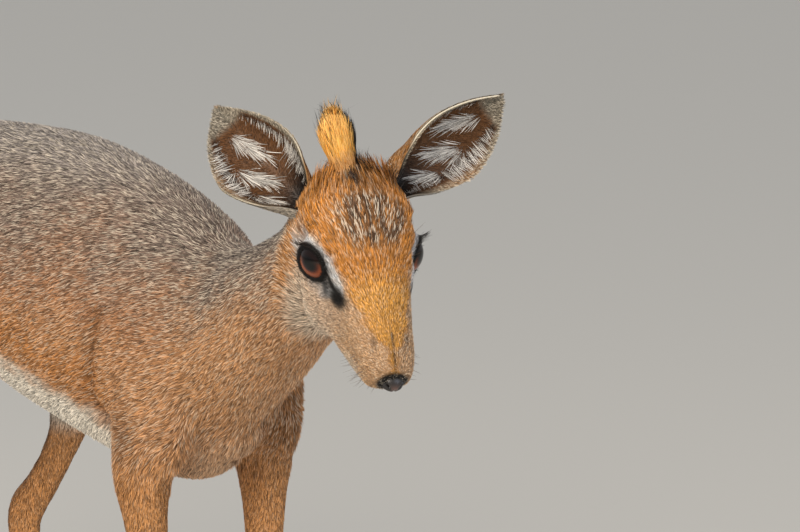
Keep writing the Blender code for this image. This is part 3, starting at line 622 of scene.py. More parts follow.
def hair_material(name, dark_share=0.30, pale_share=0.28):
    """Agouti hair: a shade for each tuft, a dark root, and on flecked places some black and pale tufts."""
    material, tree = new_material(name)
    tint = add(tree, "Attribute", attribute_name="coat")
    along = add(tree, "Attribute", attribute_name="along")
    shade = add(tree, "Attribute", attribute_name="shade")
    fleck = add(tree, "Attribute", attribute_name="fleck")
    root = add(tree, "MapRange", {"Value": along.outputs["Fac"], "To Min": 0.42, "To Max": 1.18})
    tone = add(tree, "MapRange", {"Value": shade.outputs["Fac"], "To Min": 0.38, "To Max": 1.52})
    light = add(tree, "Math", {0: root, 1: tone}, operation="MULTIPLY")
    lit = add(tree, "VectorMath", {0: tint.outputs["Color"], "Scale": light}, operation="SCALE")
    spread = add(tree, "Math", {0: shade.outputs["Fac"], 1: 7.31}, operation="MULTIPLY")
    lot = add(tree, "Math", {0: spread}, operation="FRACT")
    tip = add(tree, "MapRange", {"Value": along.outputs["Fac"], "From Min": 0.2, "From Max": 0.6})
    mixed_so_far = lit
    for share, below, other in ((dark_share, "LESS_THAN", "#241A14"),
                                (1 - pale_share, "GREATER_THAN", "#EADCC6")):
        chosen = add(tree, "Math", {0: lot, 1: share}, operation=below)
        strength = add(tree, "Math", {0: chosen, 1: fleck.outputs["Fac"]}, operation="MULTIPLY")
        shown = add(tree, "Math", {0: strength, 1: tip}, operation="MULTIPLY")
        most = add(tree, "Math", {0: shown, 1: 0.72}, operation="MULTIPLY")
        mix = add(tree, "Mix", {"Factor": most, 6: mixed_so_far, 7: rgba(other)}, data_type="RGBA")
        mixed_so_far = mix.outputs[2]
    surface = add(tree, "BsdfPrincipled", {"Base Color": mix.outputs[2], "Roughness": 0.62,
                  "Specular IOR Level": 0.28})
    add(tree, "OutputMaterial", {"Surface": surface})
    return material


coat_hair = hair_material("agouti_hair")
print("hair material:", coat_hair.name)

# %% The skin's own material
def skin_material():
    """Skin under the coat: the same markings, darker, with a fine grain in colour and bump."""
    material, tree = new_material("coat_underlayer")
    tint = add(tree, "Attribute", attribute_name="coat")
    place = add(tree, "TexCoord")
    grain = add(tree, "TexNoise", {"Vector": place.outputs["Object"], "Scale": 900.0, "Detail": 2.0})
    tone = add(tree, "MapRange", {"Value": grain, "To Min": 0.22, "To Max": 0.72})
    base = add(tree, "VectorMath", {0: tint.outputs["Color"], "Scale": tone}, operation="SCALE")
    bump = add(tree, "Bump", {"Height": grain, "Strength": 0.4, "Distance": 0.0006})
    surface = add(tree, "BsdfPrincipled", {"Base Color": base, "Normal": bump,
                  "Roughness": 0.6, "Specular IOR Level": 0.3})
    add(tree, "OutputMaterial", {"Surface": surface})
    return material


skin.data.materials.append(skin_material())
print("skin material:", skin.data.materials[0].name)

# %% [markdown]
# A coat is the same small thing planted hundreds of thousands of times, which is work for
# Geometry Nodes. Each tuft is a kite of two triangles, folded across the middle, so that it
# rises from the skin and then bends down along it. The tree scatters roots on the skin, turns
# each kite to the way that the hair lies, and sizes it by the hair's length there.

# %% The tuft
def blade_mesh(name, fold=0.10, shoulder=0.36):
    """A kite along +X, one unit long and one wide, with the place along it stored on its points."""
    mesh = bpy.data.meshes.new(name)
    mesh.from_pydata([(0, 0, 0), (shoulder, 0.5, fold), (shoulder, -0.5, fold), (1, 0, fold * 0.7)], [],
                     [(0, 2, 1), (2, 3, 1)])
    put(mesh, "along", "FLOAT", [0, shoulder, shoulder, 1])
    put(mesh, "patch", "FLOAT_VECTOR", [(0, 0, 0), (shoulder, 0.5, 0), (shoulder, -0.5, 0), (1, 0, 0)])
    return bpy.data.objects.new(name, mesh)


tuft = blade_mesh("tuft")
print("tuft of", len(tuft.data.polygons), "faces")

# %% A long bent lock
def lock_mesh(name, bend):
    """A tapered blade along +X in four lengths, bending down towards its tip."""
    stations = ((0, 0.28), (0.28, 0.5), (0.58, 0.42), (0.82, 0.24))
    rows = [[(x, w, -bend * x * x), (x, -w, -bend * x * x)] for x, w in stations]
    verts = [point for row in rows for point in row] + [(1, 0, -bend)]
    faces = [(2 * i, 2 * i + 1, 2 * i + 3, 2 * i + 2) for i in range(3)] + [(6, 7, 8)]
    mesh = bpy.data.meshes.new(name)
    mesh.from_pydata(verts, [], faces)
    put(mesh, "along", "FLOAT", [point[0] for point in verts])
    put(mesh, "patch", "FLOAT_VECTOR", [(point[0], point[1], 0) for point in verts])
    return bpy.data.objects.new(name, mesh)


lock = lock_mesh("lock", 0.10)
print("lock of", len(lock.data.polygons), "faces")

# %% The tree that plants the coat
UV_PATCH = 0.003
PLANTING_INPUTS = {"Geometry": "Geometry", "Tufts per square millimetre": "Float", "Width to length": "Float",
                   "Lift in degrees": "Float", "Seed": "Int", "Tuft": "Object", "Hair": "Material"}
# turn across the lie, share of the lift, roll, share of the length and width, and shade of each tuft
CHANCES = (("yaw", -0.22, 0.22), ("tilt", -1.5, -0.3), ("roll", -0.35, 0.35), ("stretch", 0.75, 1.25),
           ("broaden", 0.7, 1.3), ("shade", 0.0, 1.0))


def planting_tree():
    tree = bpy.data.node_groups.new("plant_tufts", "GeometryNodeTree")
    for name, kind in PLANTING_INPUTS.items():
        tree.interface.new_socket(name, in_out="INPUT", socket_type="NodeSocket" + kind)
    tree.interface.new_socket("Geometry", in_out="OUTPUT", socket_type="NodeSocketGeometry")
    given = add(tree, "NodeGroupInput").outputs
    stored = {name: add(tree, "InputNamedAttribute", {"Name": name}, data_type=kind) for name, kind in (
        ("density", "FLOAT"), ("lie", "FLOAT_VECTOR"), ("hair", "FLOAT"), ("OFBake", "FLOAT_VECTOR"),
        ("patch", "FLOAT_VECTOR"), ("root_uv", "FLOAT_VECTOR"))}
    chance = {name: add(tree, "RandomValue", {2: low, 3: high, "Seed": number}, data_type="FLOAT").outputs[1]
              for number, (name, low, high) in enumerate(CHANCES, 1)}
    per_area = add(tree, "Math", {0: given["Tufts per square millimetre"], 1: 1e6}, operation="MULTIPLY")
    dense = add(tree, "Math", {0: per_area, 1: stored["density"]}, operation="MULTIPLY")
    points = add(tree, "DistributePointsOnFaces", {"Mesh": given[0], "Density": dense, "Seed": given["Seed"]})
    lift = add(tree, "Math", {0: given["Lift in degrees"]}, operation="RADIANS")
    lift = add(tree, "Math", {0: lift, 1: chance["tilt"]}, operation="MULTIPLY")
    facing = add(tree, "AxesToRotation", {0: points.outputs["Normal"], 1: stored["lie"]},
                 primary_axis="Z", secondary_axis="X")
    turn = add(tree, "CombineXYZ", {0: chance["roll"], 1: lift, 2: chance["yaw"]})
    turned = add(tree, "RotateRotation", {0: facing, 1: turn}, rotation_space="LOCAL")
    length = add(tree, "Math", {0: stored["hair"], 1: chance["stretch"]}, operation="MULTIPLY")
    width = add(tree, "Math", {0: length, 1: given["Width to length"]}, operation="MULTIPLY")
    width = add(tree, "Math", {0: width, 1: chance["broaden"]}, operation="MULTIPLY")
    size = add(tree, "CombineXYZ", {0: length, 1: width, 2: length})
    kite = add(tree, "GeometryNodeObjectInfo", {"Object": given["Tuft"]})
    rooted = add(tree, "StoreNamedAttribute",
                 {0: points.outputs["Points"], "Name": "root_uv", "Value": stored["OFBake"]},
                 data_type="FLOAT_VECTOR", domain="POINT")
    planted = add(tree, "InstanceOnPoints", {"Points": rooted, "Instance": kite.outputs["Geometry"],
                  "Rotation": turned, "Scale": size})
    planted = add(tree, "StoreNamedAttribute", {0: planted, "Name": "shade", "Value": chance["shade"]},
                  data_type="FLOAT", domain="INSTANCE")
    real = add(tree, "RealizeInstances", {"Geometry": planted})
    patch = add(tree, "VectorMath", {0: stored["patch"], "Scale": UV_PATCH}, operation="SCALE")
    uv = add(tree, "VectorMath", {0: stored["root_uv"], 1: patch}, operation="ADD")
    real = add(tree, "StoreNamedAttribute", {0: real, "Name": "OFBake", "Value": uv},
               data_type="FLOAT2", domain="CORNER")
    for name in ("root_uv", "patch", "lie", "hair", "density"):
        real = add(tree, "RemoveAttribute", {"Geometry": real, "Name": name})
    dressed = add(tree, "SetMaterial", {"Geometry": real, "Material": given["Hair"]})
    add(tree, "NodeGroupOutput", {0: dressed})
    return tree


def set_inputs(modifier, **values):
    """Sets a modifier's inputs, given by their names in lower case with underscores."""
    for item in modifier.node_group.interface.items_tree:
        key = item.name.lower().replace(" ", "_")
        if item.item_type == "SOCKET" and item.in_out == "INPUT" and key in values:
            modifier[item.identifier] = values[key]


def plant_on(carrier, hair, **values):
    """Plants tufts on an object and leaves only the tufts, as a plain mesh riding on the root body."""
    plant = carrier.modifiers.new("plant", "NODES")
    plant.node_group = planting
    set_inputs(plant, hair=hair, **values)
    baked(carrier)
    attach(carrier, "root")
    print(carrier.name, len(carrier.data.polygons), "faces")


planting = planting_tree()
print("planting tree:", len(planting.nodes), "nodes")

# %% [markdown]
# The coat is planted in regions, which keeps each piece of it a size that other programs can
# open. Flat hair on the trunk can be longer and sparser, because each tuft covers more. On the
# face and the feet the tufts are a few millimetres long and set close.

# %% Regions of the coat
def region_mesh(mask, name):
    """A copy of the skin with only the faces that the mask keeps."""
    carrier = new_object(skin.data.copy(), name)
    work = bmesh.new()
    work.from_mesh(carrier.data)
    work.faces.ensure_lookup_table()
    bmesh.ops.delete(work, geom=[work.faces[i] for i in np.flatnonzero(~mask)], context="FACES")
    work.to_mesh(carrier.data)
    work.free()
    return carrier


centres = np.empty(len(skin.data.polygons) * 3)
skin.data.polygons.foreach_get("center", centres)
centres = centres.reshape(-1, 3)
on_face = head_share(to_head(centres)) > 0.5
left = centres[:, 1] > MIDDLE_Y
low = centres[:, 2] < 0.205
hind = centres[:, 0] < -0.06
trunk = ~on_face & ~low & (centres[:, 0] <= 0.085) & (centres[:, 0] > -0.11)
rump = ~on_face & ~low & (centres[:, 0] <= -0.11)
# for each region its faces, tufts per square millimetre, width to length, and lift in degrees
REGIONS = {
    "coat_head_left": (on_face & (to_head(centres)[:, 1] > 0), 3.3, 0.135, 12),
    "coat_head_right": (on_face & (to_head(centres)[:, 1] <= 0), 3.3, 0.135, 12),
    "coat_neck": (~on_face & (centres[:, 0] > 0.085) & ~low, 2.7, 0.105, 13),
    "coat_trunk_left": (trunk & left, 2.1, 0.118, 12),
    "coat_trunk_right": (trunk & ~left, 2.1, 0.118, 12),
    "coat_rump_left": (rump & left, 2.1, 0.118, 12),
    "coat_rump_right": (rump & ~left, 2.1, 0.118, 12),
    "coat_forelegs": (~on_face & low & ~hind, 2.9, 0.15, 6),
    "coat_hindlegs": (~on_face & low & hind, 2.9, 0.15, 6),
}
put(skin.data, "density", "FLOAT", np.ones(len(skin.data.vertices)))
coat_count = 0
for order, (name, (mask, dense, slim, lift)) in enumerate(REGIONS.items()):
    carrier = region_mesh(mask, name)
    plant_on(carrier, coat_hair, tufts_per_square_millimetre=dense * 1.0,
             width_to_length=slim, lift_in_degrees=float(lift), seed=SEED + order, tuft=tuft)
    coat_count += len(carrier.data.polygons)
print("coat:", coat_count, "faces")

# %% [markdown]
# On the crown, between the ears and in front of the crest, the hair is rough and stands up. A
# second planting there uses the long bent lock and runs up towards the crest.

# %% Rough hair on the crown
at_head = to_head(centres)
on_crown = on_face & (at_head[:, 0] < -19) & (np.abs(at_head[:, 1] + 1) < 23) & (at_head[:, 2] > 13)
crown = region_mesh(on_crown, "coat_crown")
reach = to_head(coordinates(crown.data))
put(crown.data, "hair", "FLOAT", (6.5 + 7.5 * smooth_step(-20, -32, reach[:, 0])) * MM)
climb = np.array((-60.0, -9.0, 44.0)) - reach
put(crown.data, "lie", "FLOAT_VECTOR", climb / np.linalg.norm(climb, axis=1)[:, None] @ TURN.T)
plant_on(crown, coat_hair, tufts_per_square_millimetre=2.4 * 1.0,
         width_to_length=0.05, lift_in_degrees=30.0, seed=SEED + 15, tuft=lock)

# %% [markdown]
# The ears are tall leaves rolled at the root into a tube. Each follows the same rule as its
# solid: a centre line, half widths to its two edges, and the angle that the leaf is rolled
# through. Here the rule is run on a fine grid, so that hair can be told where it grows by how
# far up the ear it is and how near to which edge.

# %% Shape of the ears
EAR_LENGTH, EAR_WALL = 78.0, 0.9
EARS = {
    1: ((-33, 24, 9), (-0.5026, 0.7885, 0.3543), (0.33, 0.70, 0.65)),
    -1: ((-31, -24.6, 7.2), (-0.9132, -0.3889, -0.1225), (0.24, -0.50, 0.83)),
}
EDGE_SHARES = {1: (1.0, 1.20, 1.0), -1: (1.28, 1.04, 2.0)}
EAR_TABLE = np.array([
    (7.5, 7.5, 150), (9.5, 11.5, 118), (12.5, 18, 82), (15, 23, 62),
    (15, 25.5, 52), (12.5, 22.5, 44), (8, 15.5, 36), (1.4, 2.2, 30)])
EAR_ROWS, EAR_COLUMNS = 85, 61


def through(table, count):
    """A smooth curve through the rows of a table, at even steps."""
    rows = np.vstack((2 * table[0] - table[1], table, 2 * table[-1] - table[-2]))
    at = np.linspace(0, len(table) - 1 - 1e-9, count)
    i = at.astype(int)
    t = (at - i)[:, None]
    a, b, c, d = rows[i], rows[i + 1], rows[i + 2], rows[i + 3]
    return 0.5 * (2 * b + (c - a) * t + (2 * a - 5 * b + 4 * c - d) * t**2 + (3 * b - a - 3 * c + d) * t**3)


def ear_grid(side):
    """Points of an ear's middle sheet in head millimetres, rows up the ear, columns inner to outer edge."""
    root, axis, facing = (np.array(v, float) for v in EARS[side])
    axis /= np.linalg.norm(axis)
    facing -= facing.dot(axis) * axis
    facing /= np.linalg.norm(facing)
    outward = np.cross(axis, facing)
    outward *= np.sign(outward[1] * side)
    inner, outer, roll = through(EAR_TABLE, EAR_ROWS).T
    u = np.linspace(0, 1, EAR_ROWS)[:, None]
    beta = np.radians(roll)[:, None]
    reach = np.sin(np.minimum(beta, math.pi / 2))
    theta = np.linspace(-1, 1, EAR_COLUMNS)[None, :] * beta
    *shares, late = EDGE_SHARES[side]
    inner_share, outer_share = (1 + (share - 1) * np.sqrt(np.sin(math.pi * u**late).clip(0))
                                for share in shares)
    width = np.where(theta > 0, outer[:, None] * outer_share, inner[:, None] * inner_share) / reach
    deep = (inner + outer)[:, None] / 2 / reach * (np.cos(theta) - np.cos(beta))
    centre = root + u[..., None] * EAR_LENGTH * axis - facing * 6.0 * np.sin(math.pi * u)[..., None]
    return centre + (width * np.sin(theta))[..., None] * outward - deep[..., None] * facing


def grid_mesh(grid, name):
    """A sheet of quads over a grid of head points, with u up the ear and v across it on its points."""
    rows, columns = grid.shape[:2]
    number = np.arange(rows * columns).reshape(rows, columns)
    faces = np.stack((number[:-1, :-1], number[:-1, 1:], number[1:, 1:], number[1:, :-1]), -1).reshape(-1, 4)
    mesh = bpy.data.meshes.new(name)
    mesh.from_pydata(from_head(grid.reshape(-1, 3)).tolist(), [], faces.tolist())
    u, v = np.meshgrid(np.linspace(0, 1, rows), np.linspace(-1, 1, columns), indexing="ij")
    put(mesh, "u", "FLOAT", u)
    put(mesh, "v", "FLOAT", v)
    return mesh


def sheet_directions(grid):
    """Unit directions up the sheet, across it, and out of its hollow side, in the world."""
    up, across = np.gradient(grid, axis=0), np.gradient(grid, axis=1)
    found = []
    for vectors in (up, across, np.cross(up, across)):
        rows = vectors.reshape(-1, 3) @ TURN.T
        found.append(rows / (np.linalg.norm(rows, axis=1)[:, None] + 1e-12))
    return found


ear_grids = {side: ear_grid(side) for side in (1, -1)}
print("ear grids:", ear_grids[1].shape)

# %% [markdown]
# Inside, an ear is nearly bare brown skin, black at the root. Long pale hair grows in rows: one
# fringe all along the inner edge, one along the outer, and three plumes that run across the
# hollow and leave bare skin between them. The rim has short speckled hair and a thin cream edge,
# and the back is tawny. Rows are soft bands in the u and v of the sheet.

# %% Colours and hair of the ears
EAR_SKIN = colour("#6A4526")
EAR_ROOT = colour("#120C0A")
EAR_RIM = colour("#8F8676")
EAR_EDGE = colour("#E9DCC4")
EAR_BACK = colour("#A8743C")
EAR_WHITE = colour("#E4DFD8")


def band(value, centre, half):
    return np.exp(-(((value - centre) / half) ** 2))


def ear_colours(u, v, hollow):
    """Linear colour, and fleck, of the ear's short hair. hollow is 1 on the inner side."""
    tint = np.tile(EAR_BACK, (len(u), 1))
    tint = mixed(tint, colour("#8C7A62"), smooth_step(0.25, 0.75, u) * (1 - hollow) * 0.8)
    tint = mixed(tint, colour("#A9A59B"), smooth_step(-0.1, 0.4, v) * (1 - hollow) * 0.85)
    tint = mixed(tint, EAR_SKIN, hollow)
    tint = mixed(tint, EAR_ROOT, hollow * smooth_step(0.46, 0.16, u + 0.16 * v))
    tint = mixed(tint, colour("#2A1A10"),
                 hollow * band(np.abs(v), 0.70, 0.09) * smooth_step(0.15, 0.35, u) * 0.8)
    rim = np.maximum(smooth_step(0.80, 0.90, np.abs(v)), smooth_step(0.84, 0.90, u))
    rim = rim * smooth_step(0.10, 0.30, u)
    tint = mixed(tint, EAR_RIM, rim * hollow)
    tint = mixed(tint, EAR_BACK, rim * hollow * smooth_step(0.6, 0.9, v) * band(u, 0.5, 0.22) * 0.7)
    tint = mixed(tint, EAR_EDGE, smooth_step(0.955, 0.985, -v) * smooth_step(0.25, 0.4, u))
    tint = mixed(tint, EAR_EDGE, smooth_step(0.965, 0.99, v) * smooth_step(0.2, 0.4, u) * 0.7)
    return tint, np.clip(rim * hollow * 0.9 + 0.3 * (1 - hollow), 0, 1)


# u and v at the start and end of each plume, its half width in mm, and the density of its hair
PLUMES = (
    ((0.82, 0.22), (0.50, -0.22), 1.7, 0.9),
    ((0.62, 0.52), (0.34, 0.06), 1.6, 0.9),
    ((0.40, 0.66), (0.16, 0.34), 1.5, 0.6),
)


def pale_rows(u, v):
    """Density of the long pale hair, and how much it runs up the ear and across it."""
    flat = np.column_stack((u * EAR_LENGTH, v * 20.0))
    rows = []
    for start, end, half, dense in PLUMES:
        a, b = np.array(start) * (EAR_LENGTH, 20.0), np.array(end) * (EAR_LENGTH, 20.0)
        t = (flat - a) @ (b - a) / ((b - a) @ (b - a))
        off = (flat - a - t[:, None] * (b - a)) @ np.array((-(b - a)[1], (b - a)[0])) / np.linalg.norm(b - a)
        wide = half * (0.4 + 0.8 * np.clip(1 - t, 0, 1))
        way = (b - a) / np.linalg.norm(b - a)
        spread = off / half * 0.35
        ends = smooth_step(-0.06, 0.02, t) * smooth_step(0.80, 0.45, t)
        rows.append((np.exp(-((off / wide) ** 4)) * ends * dense,
                     way[0] - way[1] * spread, way[1] + way[0] * spread))
    rows += [
        (band(v, -0.84, 0.07) * smooth_step(0.42, 0.52, u) * smooth_step(0.90, 0.84, u) * 0.7, -0.55, 1.0),
        (band(v, -0.84, 0.16) * smooth_step(0.00, 0.06, u) * smooth_step(0.56, 0.46, u) * 1.3, -0.10, 1.0),
        (band(v, 0.84, 0.09) * smooth_step(0.05, 0.12, u) * smooth_step(0.40, 0.30, u), 0.25, -1.0),
        (band(v, 0.64, 0.08) * smooth_step(0.34, 0.44, u) * smooth_step(0.88, 0.76, u) * 0.45, 0.15, 1.0),
    ]
    density = sum(row[0] for row in rows) + 1e-6
    up = sum(row[0] * row[1] for row in rows) / density
    across = sum(row[0] * row[2] for row in rows) / density
    return np.clip(density, 0, 1.3), up, across


print("ear rows ready")

# %% Build and clothe the ears
def ear_skin_material():
    """Thin living skin: brown, a little waxy, with the veins and ribs of the gristle as soft bump."""
    material, tree = new_material("ear_skin_and_down")
    tint = add(tree, "Attribute", attribute_name="coat")
    place = add(tree, "TexCoord")
    grain = add(tree, "TexNoise", {"Vector": place.outputs["Object"], "Scale": 700.0, "Detail": 3.0})
    veins = add(tree, "TexNoise", {"Vector": place.outputs["Object"], "Scale": 120.0, "Detail": 2.0})
    tone = add(tree, "MapRange", {"Value": grain, "To Min": 0.6, "To Max": 1.25})
    base = add(tree, "VectorMath", {0: tint.outputs["Color"], "Scale": tone}, operation="SCALE")
    relief = add(tree, "Math", {0: grain, 1: veins}, operation="ADD")
    bump = add(tree, "Bump", {"Height": relief, "Strength": 0.4, "Distance": 0.0008})
    surface = add(tree, "BsdfPrincipled", {"Base Color": base, "Normal": bump,
                  "Roughness": 0.5, "Specular IOR Level": 0.35, "Subsurface Weight": 0.08})
    add(tree, "OutputMaterial", {"Surface": surface})
    return material


ear_skin = ear_skin_material()
EASE = 1.0
for side, node in ((1, "ear_left"), (-1, "ear_right")):
    grid = ear_grids[side]
    up, across, hollow = sheet_directions(grid)
    hollow = hollow * side
    if (hollow @ (TURN @ np.array(EARS[side][2]))).mean() < 0:
        hollow = -hollow
    leaf = new_object(grid_mesh(grid, node), node.replace("ear", "ear_leaf"))
    u, v = (np.array([row.value for row in leaf.data.attributes[name].data]) for name in ("u", "v"))
    wall = leaf.modifiers.new("wall", "SOLIDIFY")
    wall.thickness, wall.offset = EAR_WALL * MM, 0
    baked(leaf)
    facing_hollow = (normals(leaf.data) * np.vstack((hollow, hollow))).sum(1) > 0
    tint, _ = ear_colours(np.tile(u, 2), np.tile(v, 2), facing_hollow.astype(float))
    paint(leaf.data, tint)
    leaf.data.shade_smooth()
    leaf.data.materials.append(ear_skin)
    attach(leaf, "root")
    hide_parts(node)
    for layer in ("back", "front", "long"):
        shift = hollow * EAR_WALL / 2 * MM * (-1 if layer == "back" else 1)
        carrier = new_object(grid_mesh(grid, "ear"), "%s_%s" % (leaf.name.replace("leaf", "hair"), layer))
        carrier.data.vertices.foreach_set("co", (from_head(grid.reshape(-1, 3)) + shift).ravel())
        carrier.data.update()
        if ((normals(carrier.data) * shift).sum(1).mean()) < 0:
            carrier.data.flip_normals()
        tint, fleck = ear_colours(u, v, np.full(len(u), float(layer != "back")))
        if layer == "long":
            density, along_up, along_across = pale_rows(u, v)
            tint = np.tile(EAR_WHITE, (len(u), 1))
            fleck = fleck * 0
            hair = (np.where(v < -0.6, 6.2, 9.5) - 2.0 * smooth_step(0.6, 0.9, u)
                    - 3.6 * smooth_step(0.56, 0.76, v))
        else:
            rim = np.maximum(smooth_step(0.74, 0.84, np.abs(v)), smooth_step(0.80, 0.88, u))
            density = np.ones(len(u)) if layer == "back" else np.clip(rim + 0.22, 0, 1)
            along_up = np.where(layer == "back", 1.0, 0.45)
            along_across = np.where(layer == "back", 0.0, np.sign(v) * 0.5)
            hair = np.full(len(u), 3.0 if layer == "back" else 2.2)
        way = up * np.reshape(along_up, (-1, 1)) + across * np.reshape(along_across, (-1, 1))
        paint(carrier.data, tint)
        put(carrier.data, "fleck", "FLOAT", fleck)
        put(carrier.data, "density", "FLOAT", density)
        put(carrier.data, "hair", "FLOAT", hair * MM)
        put(carrier.data, "lie", "FLOAT_VECTOR", way)
        unwrap(carrier, 75)
        dense, slim, lift = {"back": (5.0, 0.13, 6.0), "front": (9.0, 0.14, 8.0),
                             "long": (3.0, 0.032, 13.0)}[layer]
        plant_on(carrier, coat_hair, tufts_per_square_millimetre=dense * EASE, width_to_length=slim,
                 lift_in_degrees=lift, seed=SEED + 20 + side, tuft=lock if layer == "long" else tuft)

# %% [markdown]
# The crest is a bulb of golden hair on the crown, brown at its foot and black down its left
# side, with loose black wisps. A core follows the crest's centre line, and bent locks are
# planted on it that run the same way. It is the same planting tree, with a longer and more
# bent blade in place of the kite.

# %% Hair of the crest
def crest_material():
    """Long guard hair: dark orange roots, golden length, and black ends where the crest is fringed."""
    material, tree = new_material("crest_guard_hair")
    along = add(tree, "Attribute", attribute_name="along")
    shade = add(tree, "Attribute", attribute_name="shade")
    fleck = add(tree, "Attribute", attribute_name="fleck")
    tint = add(tree, "Attribute", attribute_name="coat")
    pale = add(tree, "MapRange", {"Value": along.outputs["Fac"], "From Min": 0.3, "To Max": 0.45})
    tip = add(tree, "Mix", {"Factor": pale, 6: tint.outputs["Color"], 7: rgba("#FFE0A0")}, data_type="RGBA")
    tone = add(tree, "MapRange", {"Value": shade.outputs["Fac"], "To Min": 0.62, "To Max": 1.25})
    lit = add(tree, "VectorMath", {0: tip.outputs[2], "Scale": tone}, operation="SCALE")
    reach = add(tree, "Math", {0: fleck.outputs["Fac"], 1: shade.outputs["Fac"]}, operation="MULTIPLY")
    sum_up = add(tree, "Math", {0: reach, 1: fleck.outputs["Fac"]}, operation="ADD")
    start = add(tree, "Math", {0: 1.08, 1: sum_up}, operation="SUBTRACT")
    end = add(tree, "Math", {0: start, 1: 0.12}, operation="ADD")
    black = add(tree, "MapRange", {"Value": along.outputs["Fac"], "From Min": start, "From Max": end})
    mix = add(tree, "Mix", {"Factor": black, 6: lit, 7: rgba("#17110E")}, data_type="RGBA")
    surface = add(tree, "BsdfPrincipled", {"Base Color": mix.outputs[2], "Roughness": 0.5,
                  "Specular IOR Level": 0.35})
    add(tree, "OutputMaterial", {"Surface": surface})
    return material


crest_hair = crest_material()
print("crest hair:", crest_hair.name)

# %% Crest core and its locks
CREST_GUIDE = np.array([(-33, -2.5, 20.0, 7.4, 6.6), (-43, -6.0, 28.5, 8.4, 6.6), (-53, -8.5, 35.5, 11.0, 7.2),
                        (-62, -10.0, 40.5, 9.5, 6.2), (-71, -11.5, 44.0, 6.5, 4.3)])
CORE_SHARE = 0.76


def crest_core():
    """The core's grid of head points, and on each point the way along, the way out, u and the angle."""
    rows = through(CREST_GUIDE, 60)
    along = np.gradient(rows[:, :3], axis=0)
    along /= np.linalg.norm(along, axis=1)[:, None]
    sideways = np.array((0, 1, 0)) - along * along[:, 1:2]
    sideways /= np.linalg.norm(sideways, axis=1)[:, None]
    forward = np.cross(along, sideways)
    keep = int(60 * CORE_SHARE)
    u = np.linspace(0, CORE_SHARE, keep)[:, None]
    angle = np.linspace(0, 2 * math.pi, 37)[None, :]
    swell = np.sqrt(np.clip(1 - (u / (CORE_SHARE * 1.001)) ** 5, 0, 1)) * 0.82
    out = sideways[:keep, None] * np.cos(angle)[..., None] * rows[:keep, 3][:, None, None]
    out = out + forward[:keep, None] * np.sin(angle)[..., None] * rows[:keep, 4][:, None, None]
    grid = rows[:keep, None, :3] + out * swell[..., None]
    return grid, np.repeat(along[:keep, None], 37, 1), out, u + 0 * angle, angle + 0 * u


grid, along, out, u, angle = crest_core()
core = new_object(grid_mesh(grid, "crest"), "crest_hair")
work = bmesh.new()
work.from_mesh(core.data)
bmesh.ops.remove_doubles(work, verts=work.verts, dist=1e-7)
bmesh.ops.recalc_face_normals(work, faces=work.faces)
work.to_mesh(core.data)
work.free()
tree_of_points = BVHTree.FromPolygons([Vector(p) for p in from_head(grid.reshape(-1, 3))],
                                      [(i, i, i) for i in range(grid.size // 3)])
nearest = [tree_of_points.find_nearest(v.co)[2] for v in core.data.vertices]


def flat(values):
    """Values on the core's grid, as one row for each point of its mesh."""
    return values.reshape(len(grid.reshape(-1, 3)), -1)[nearest]


core_normals = normals(core.data)
if (core_normals * (flat(out) @ TURN.T)).sum() < 0:
    core.data.flip_normals()
left_side, u_here = np.cos(flat(angle))[:, 0], flat(u)[:, 0]
way = (flat(along) + 0.14 * flat(out) / 8) @ TURN.T
hair = 9.0 + 1.0 * smooth_step(0.1, 0.6, u_here)
fleck = 0.85 * smooth_step(0.62, 0.90, left_side)
tint = mixed(np.tile(colour("#B5702C"), (len(way), 1)), colour("#F7B23C"), smooth_step(0.12, 0.36, u_here))
paint(core.data, tint)
put(core.data, "fleck", "FLOAT", np.clip(fleck, 0, 1))
put(core.data, "density", "FLOAT", np.ones(len(way)))
put(core.data, "hair", "FLOAT", hair * MM)
put(core.data, "lie", "FLOAT_VECTOR", way)
unwrap(core, 75)
wisps = new_object(core.data.copy(), "crest_wisps")
put(wisps.data, "hair", "FLOAT", (12.0 + 3.0 * smooth_step(0.2, 0.6, u_here)) * MM)
put(wisps.data, "density", "FLOAT", smooth_step(0.15, 0.6, u_here))
put(wisps.data, "fleck", "FLOAT", 0.10 + 0.75 * smooth_step(0.35, 0.8, np.abs(left_side)))
plant_on(core, crest_hair, tufts_per_square_millimetre=4.0 * EASE, width_to_length=0.045,
         lift_in_degrees=7.0, seed=SEED + 40, tuft=lock)
plant_on(wisps, crest_hair, tufts_per_square_millimetre=0.5 * EASE, width_to_length=0.016,
         lift_in_degrees=10.0, seed=SEED + 41, tuft=lock)
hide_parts("crest")

# %% [markdown]
# The eye of a small antelope is nearly all dark: a wide pupil, lying down, in a red-brown iris,
# under a clear wet cornea. The ball is one mesh whose colours come from its own attributes.

# %% Eyes
def fine_ball(name):
    """A ball of radius 1 as a mesh, and its points."""
    mesh = bpy.data.meshes.new(name)
    work = bmesh.new()
    bmesh.ops.create_icosphere(work, subdivisions=6, radius=1.0)
    work.to_mesh(mesh)
    work.free()
    unit = coordinates(mesh)
    return mesh, unit / np.linalg.norm(unit, axis=1)[:, None]


def eye_ball(side):
    mesh, unit = fine_ball("eye")
    forward = unit[:, 2]
    bulge = 0.35 * smooth_step(0.55, 1.0, forward)
    put(mesh, "gaze", "FLOAT_VECTOR", unit)
    own = eye_middle(side) + (unit * (EYE_RADIUS_MM - 0.15 + bulge)[:, None]) @ eye_axes(side)
    mesh.vertices.foreach_set("co", from_head(own).ravel())
    if side > 0:
        mesh.flip_normals()
    mesh.update()
    mesh.shade_smooth()
    return mesh


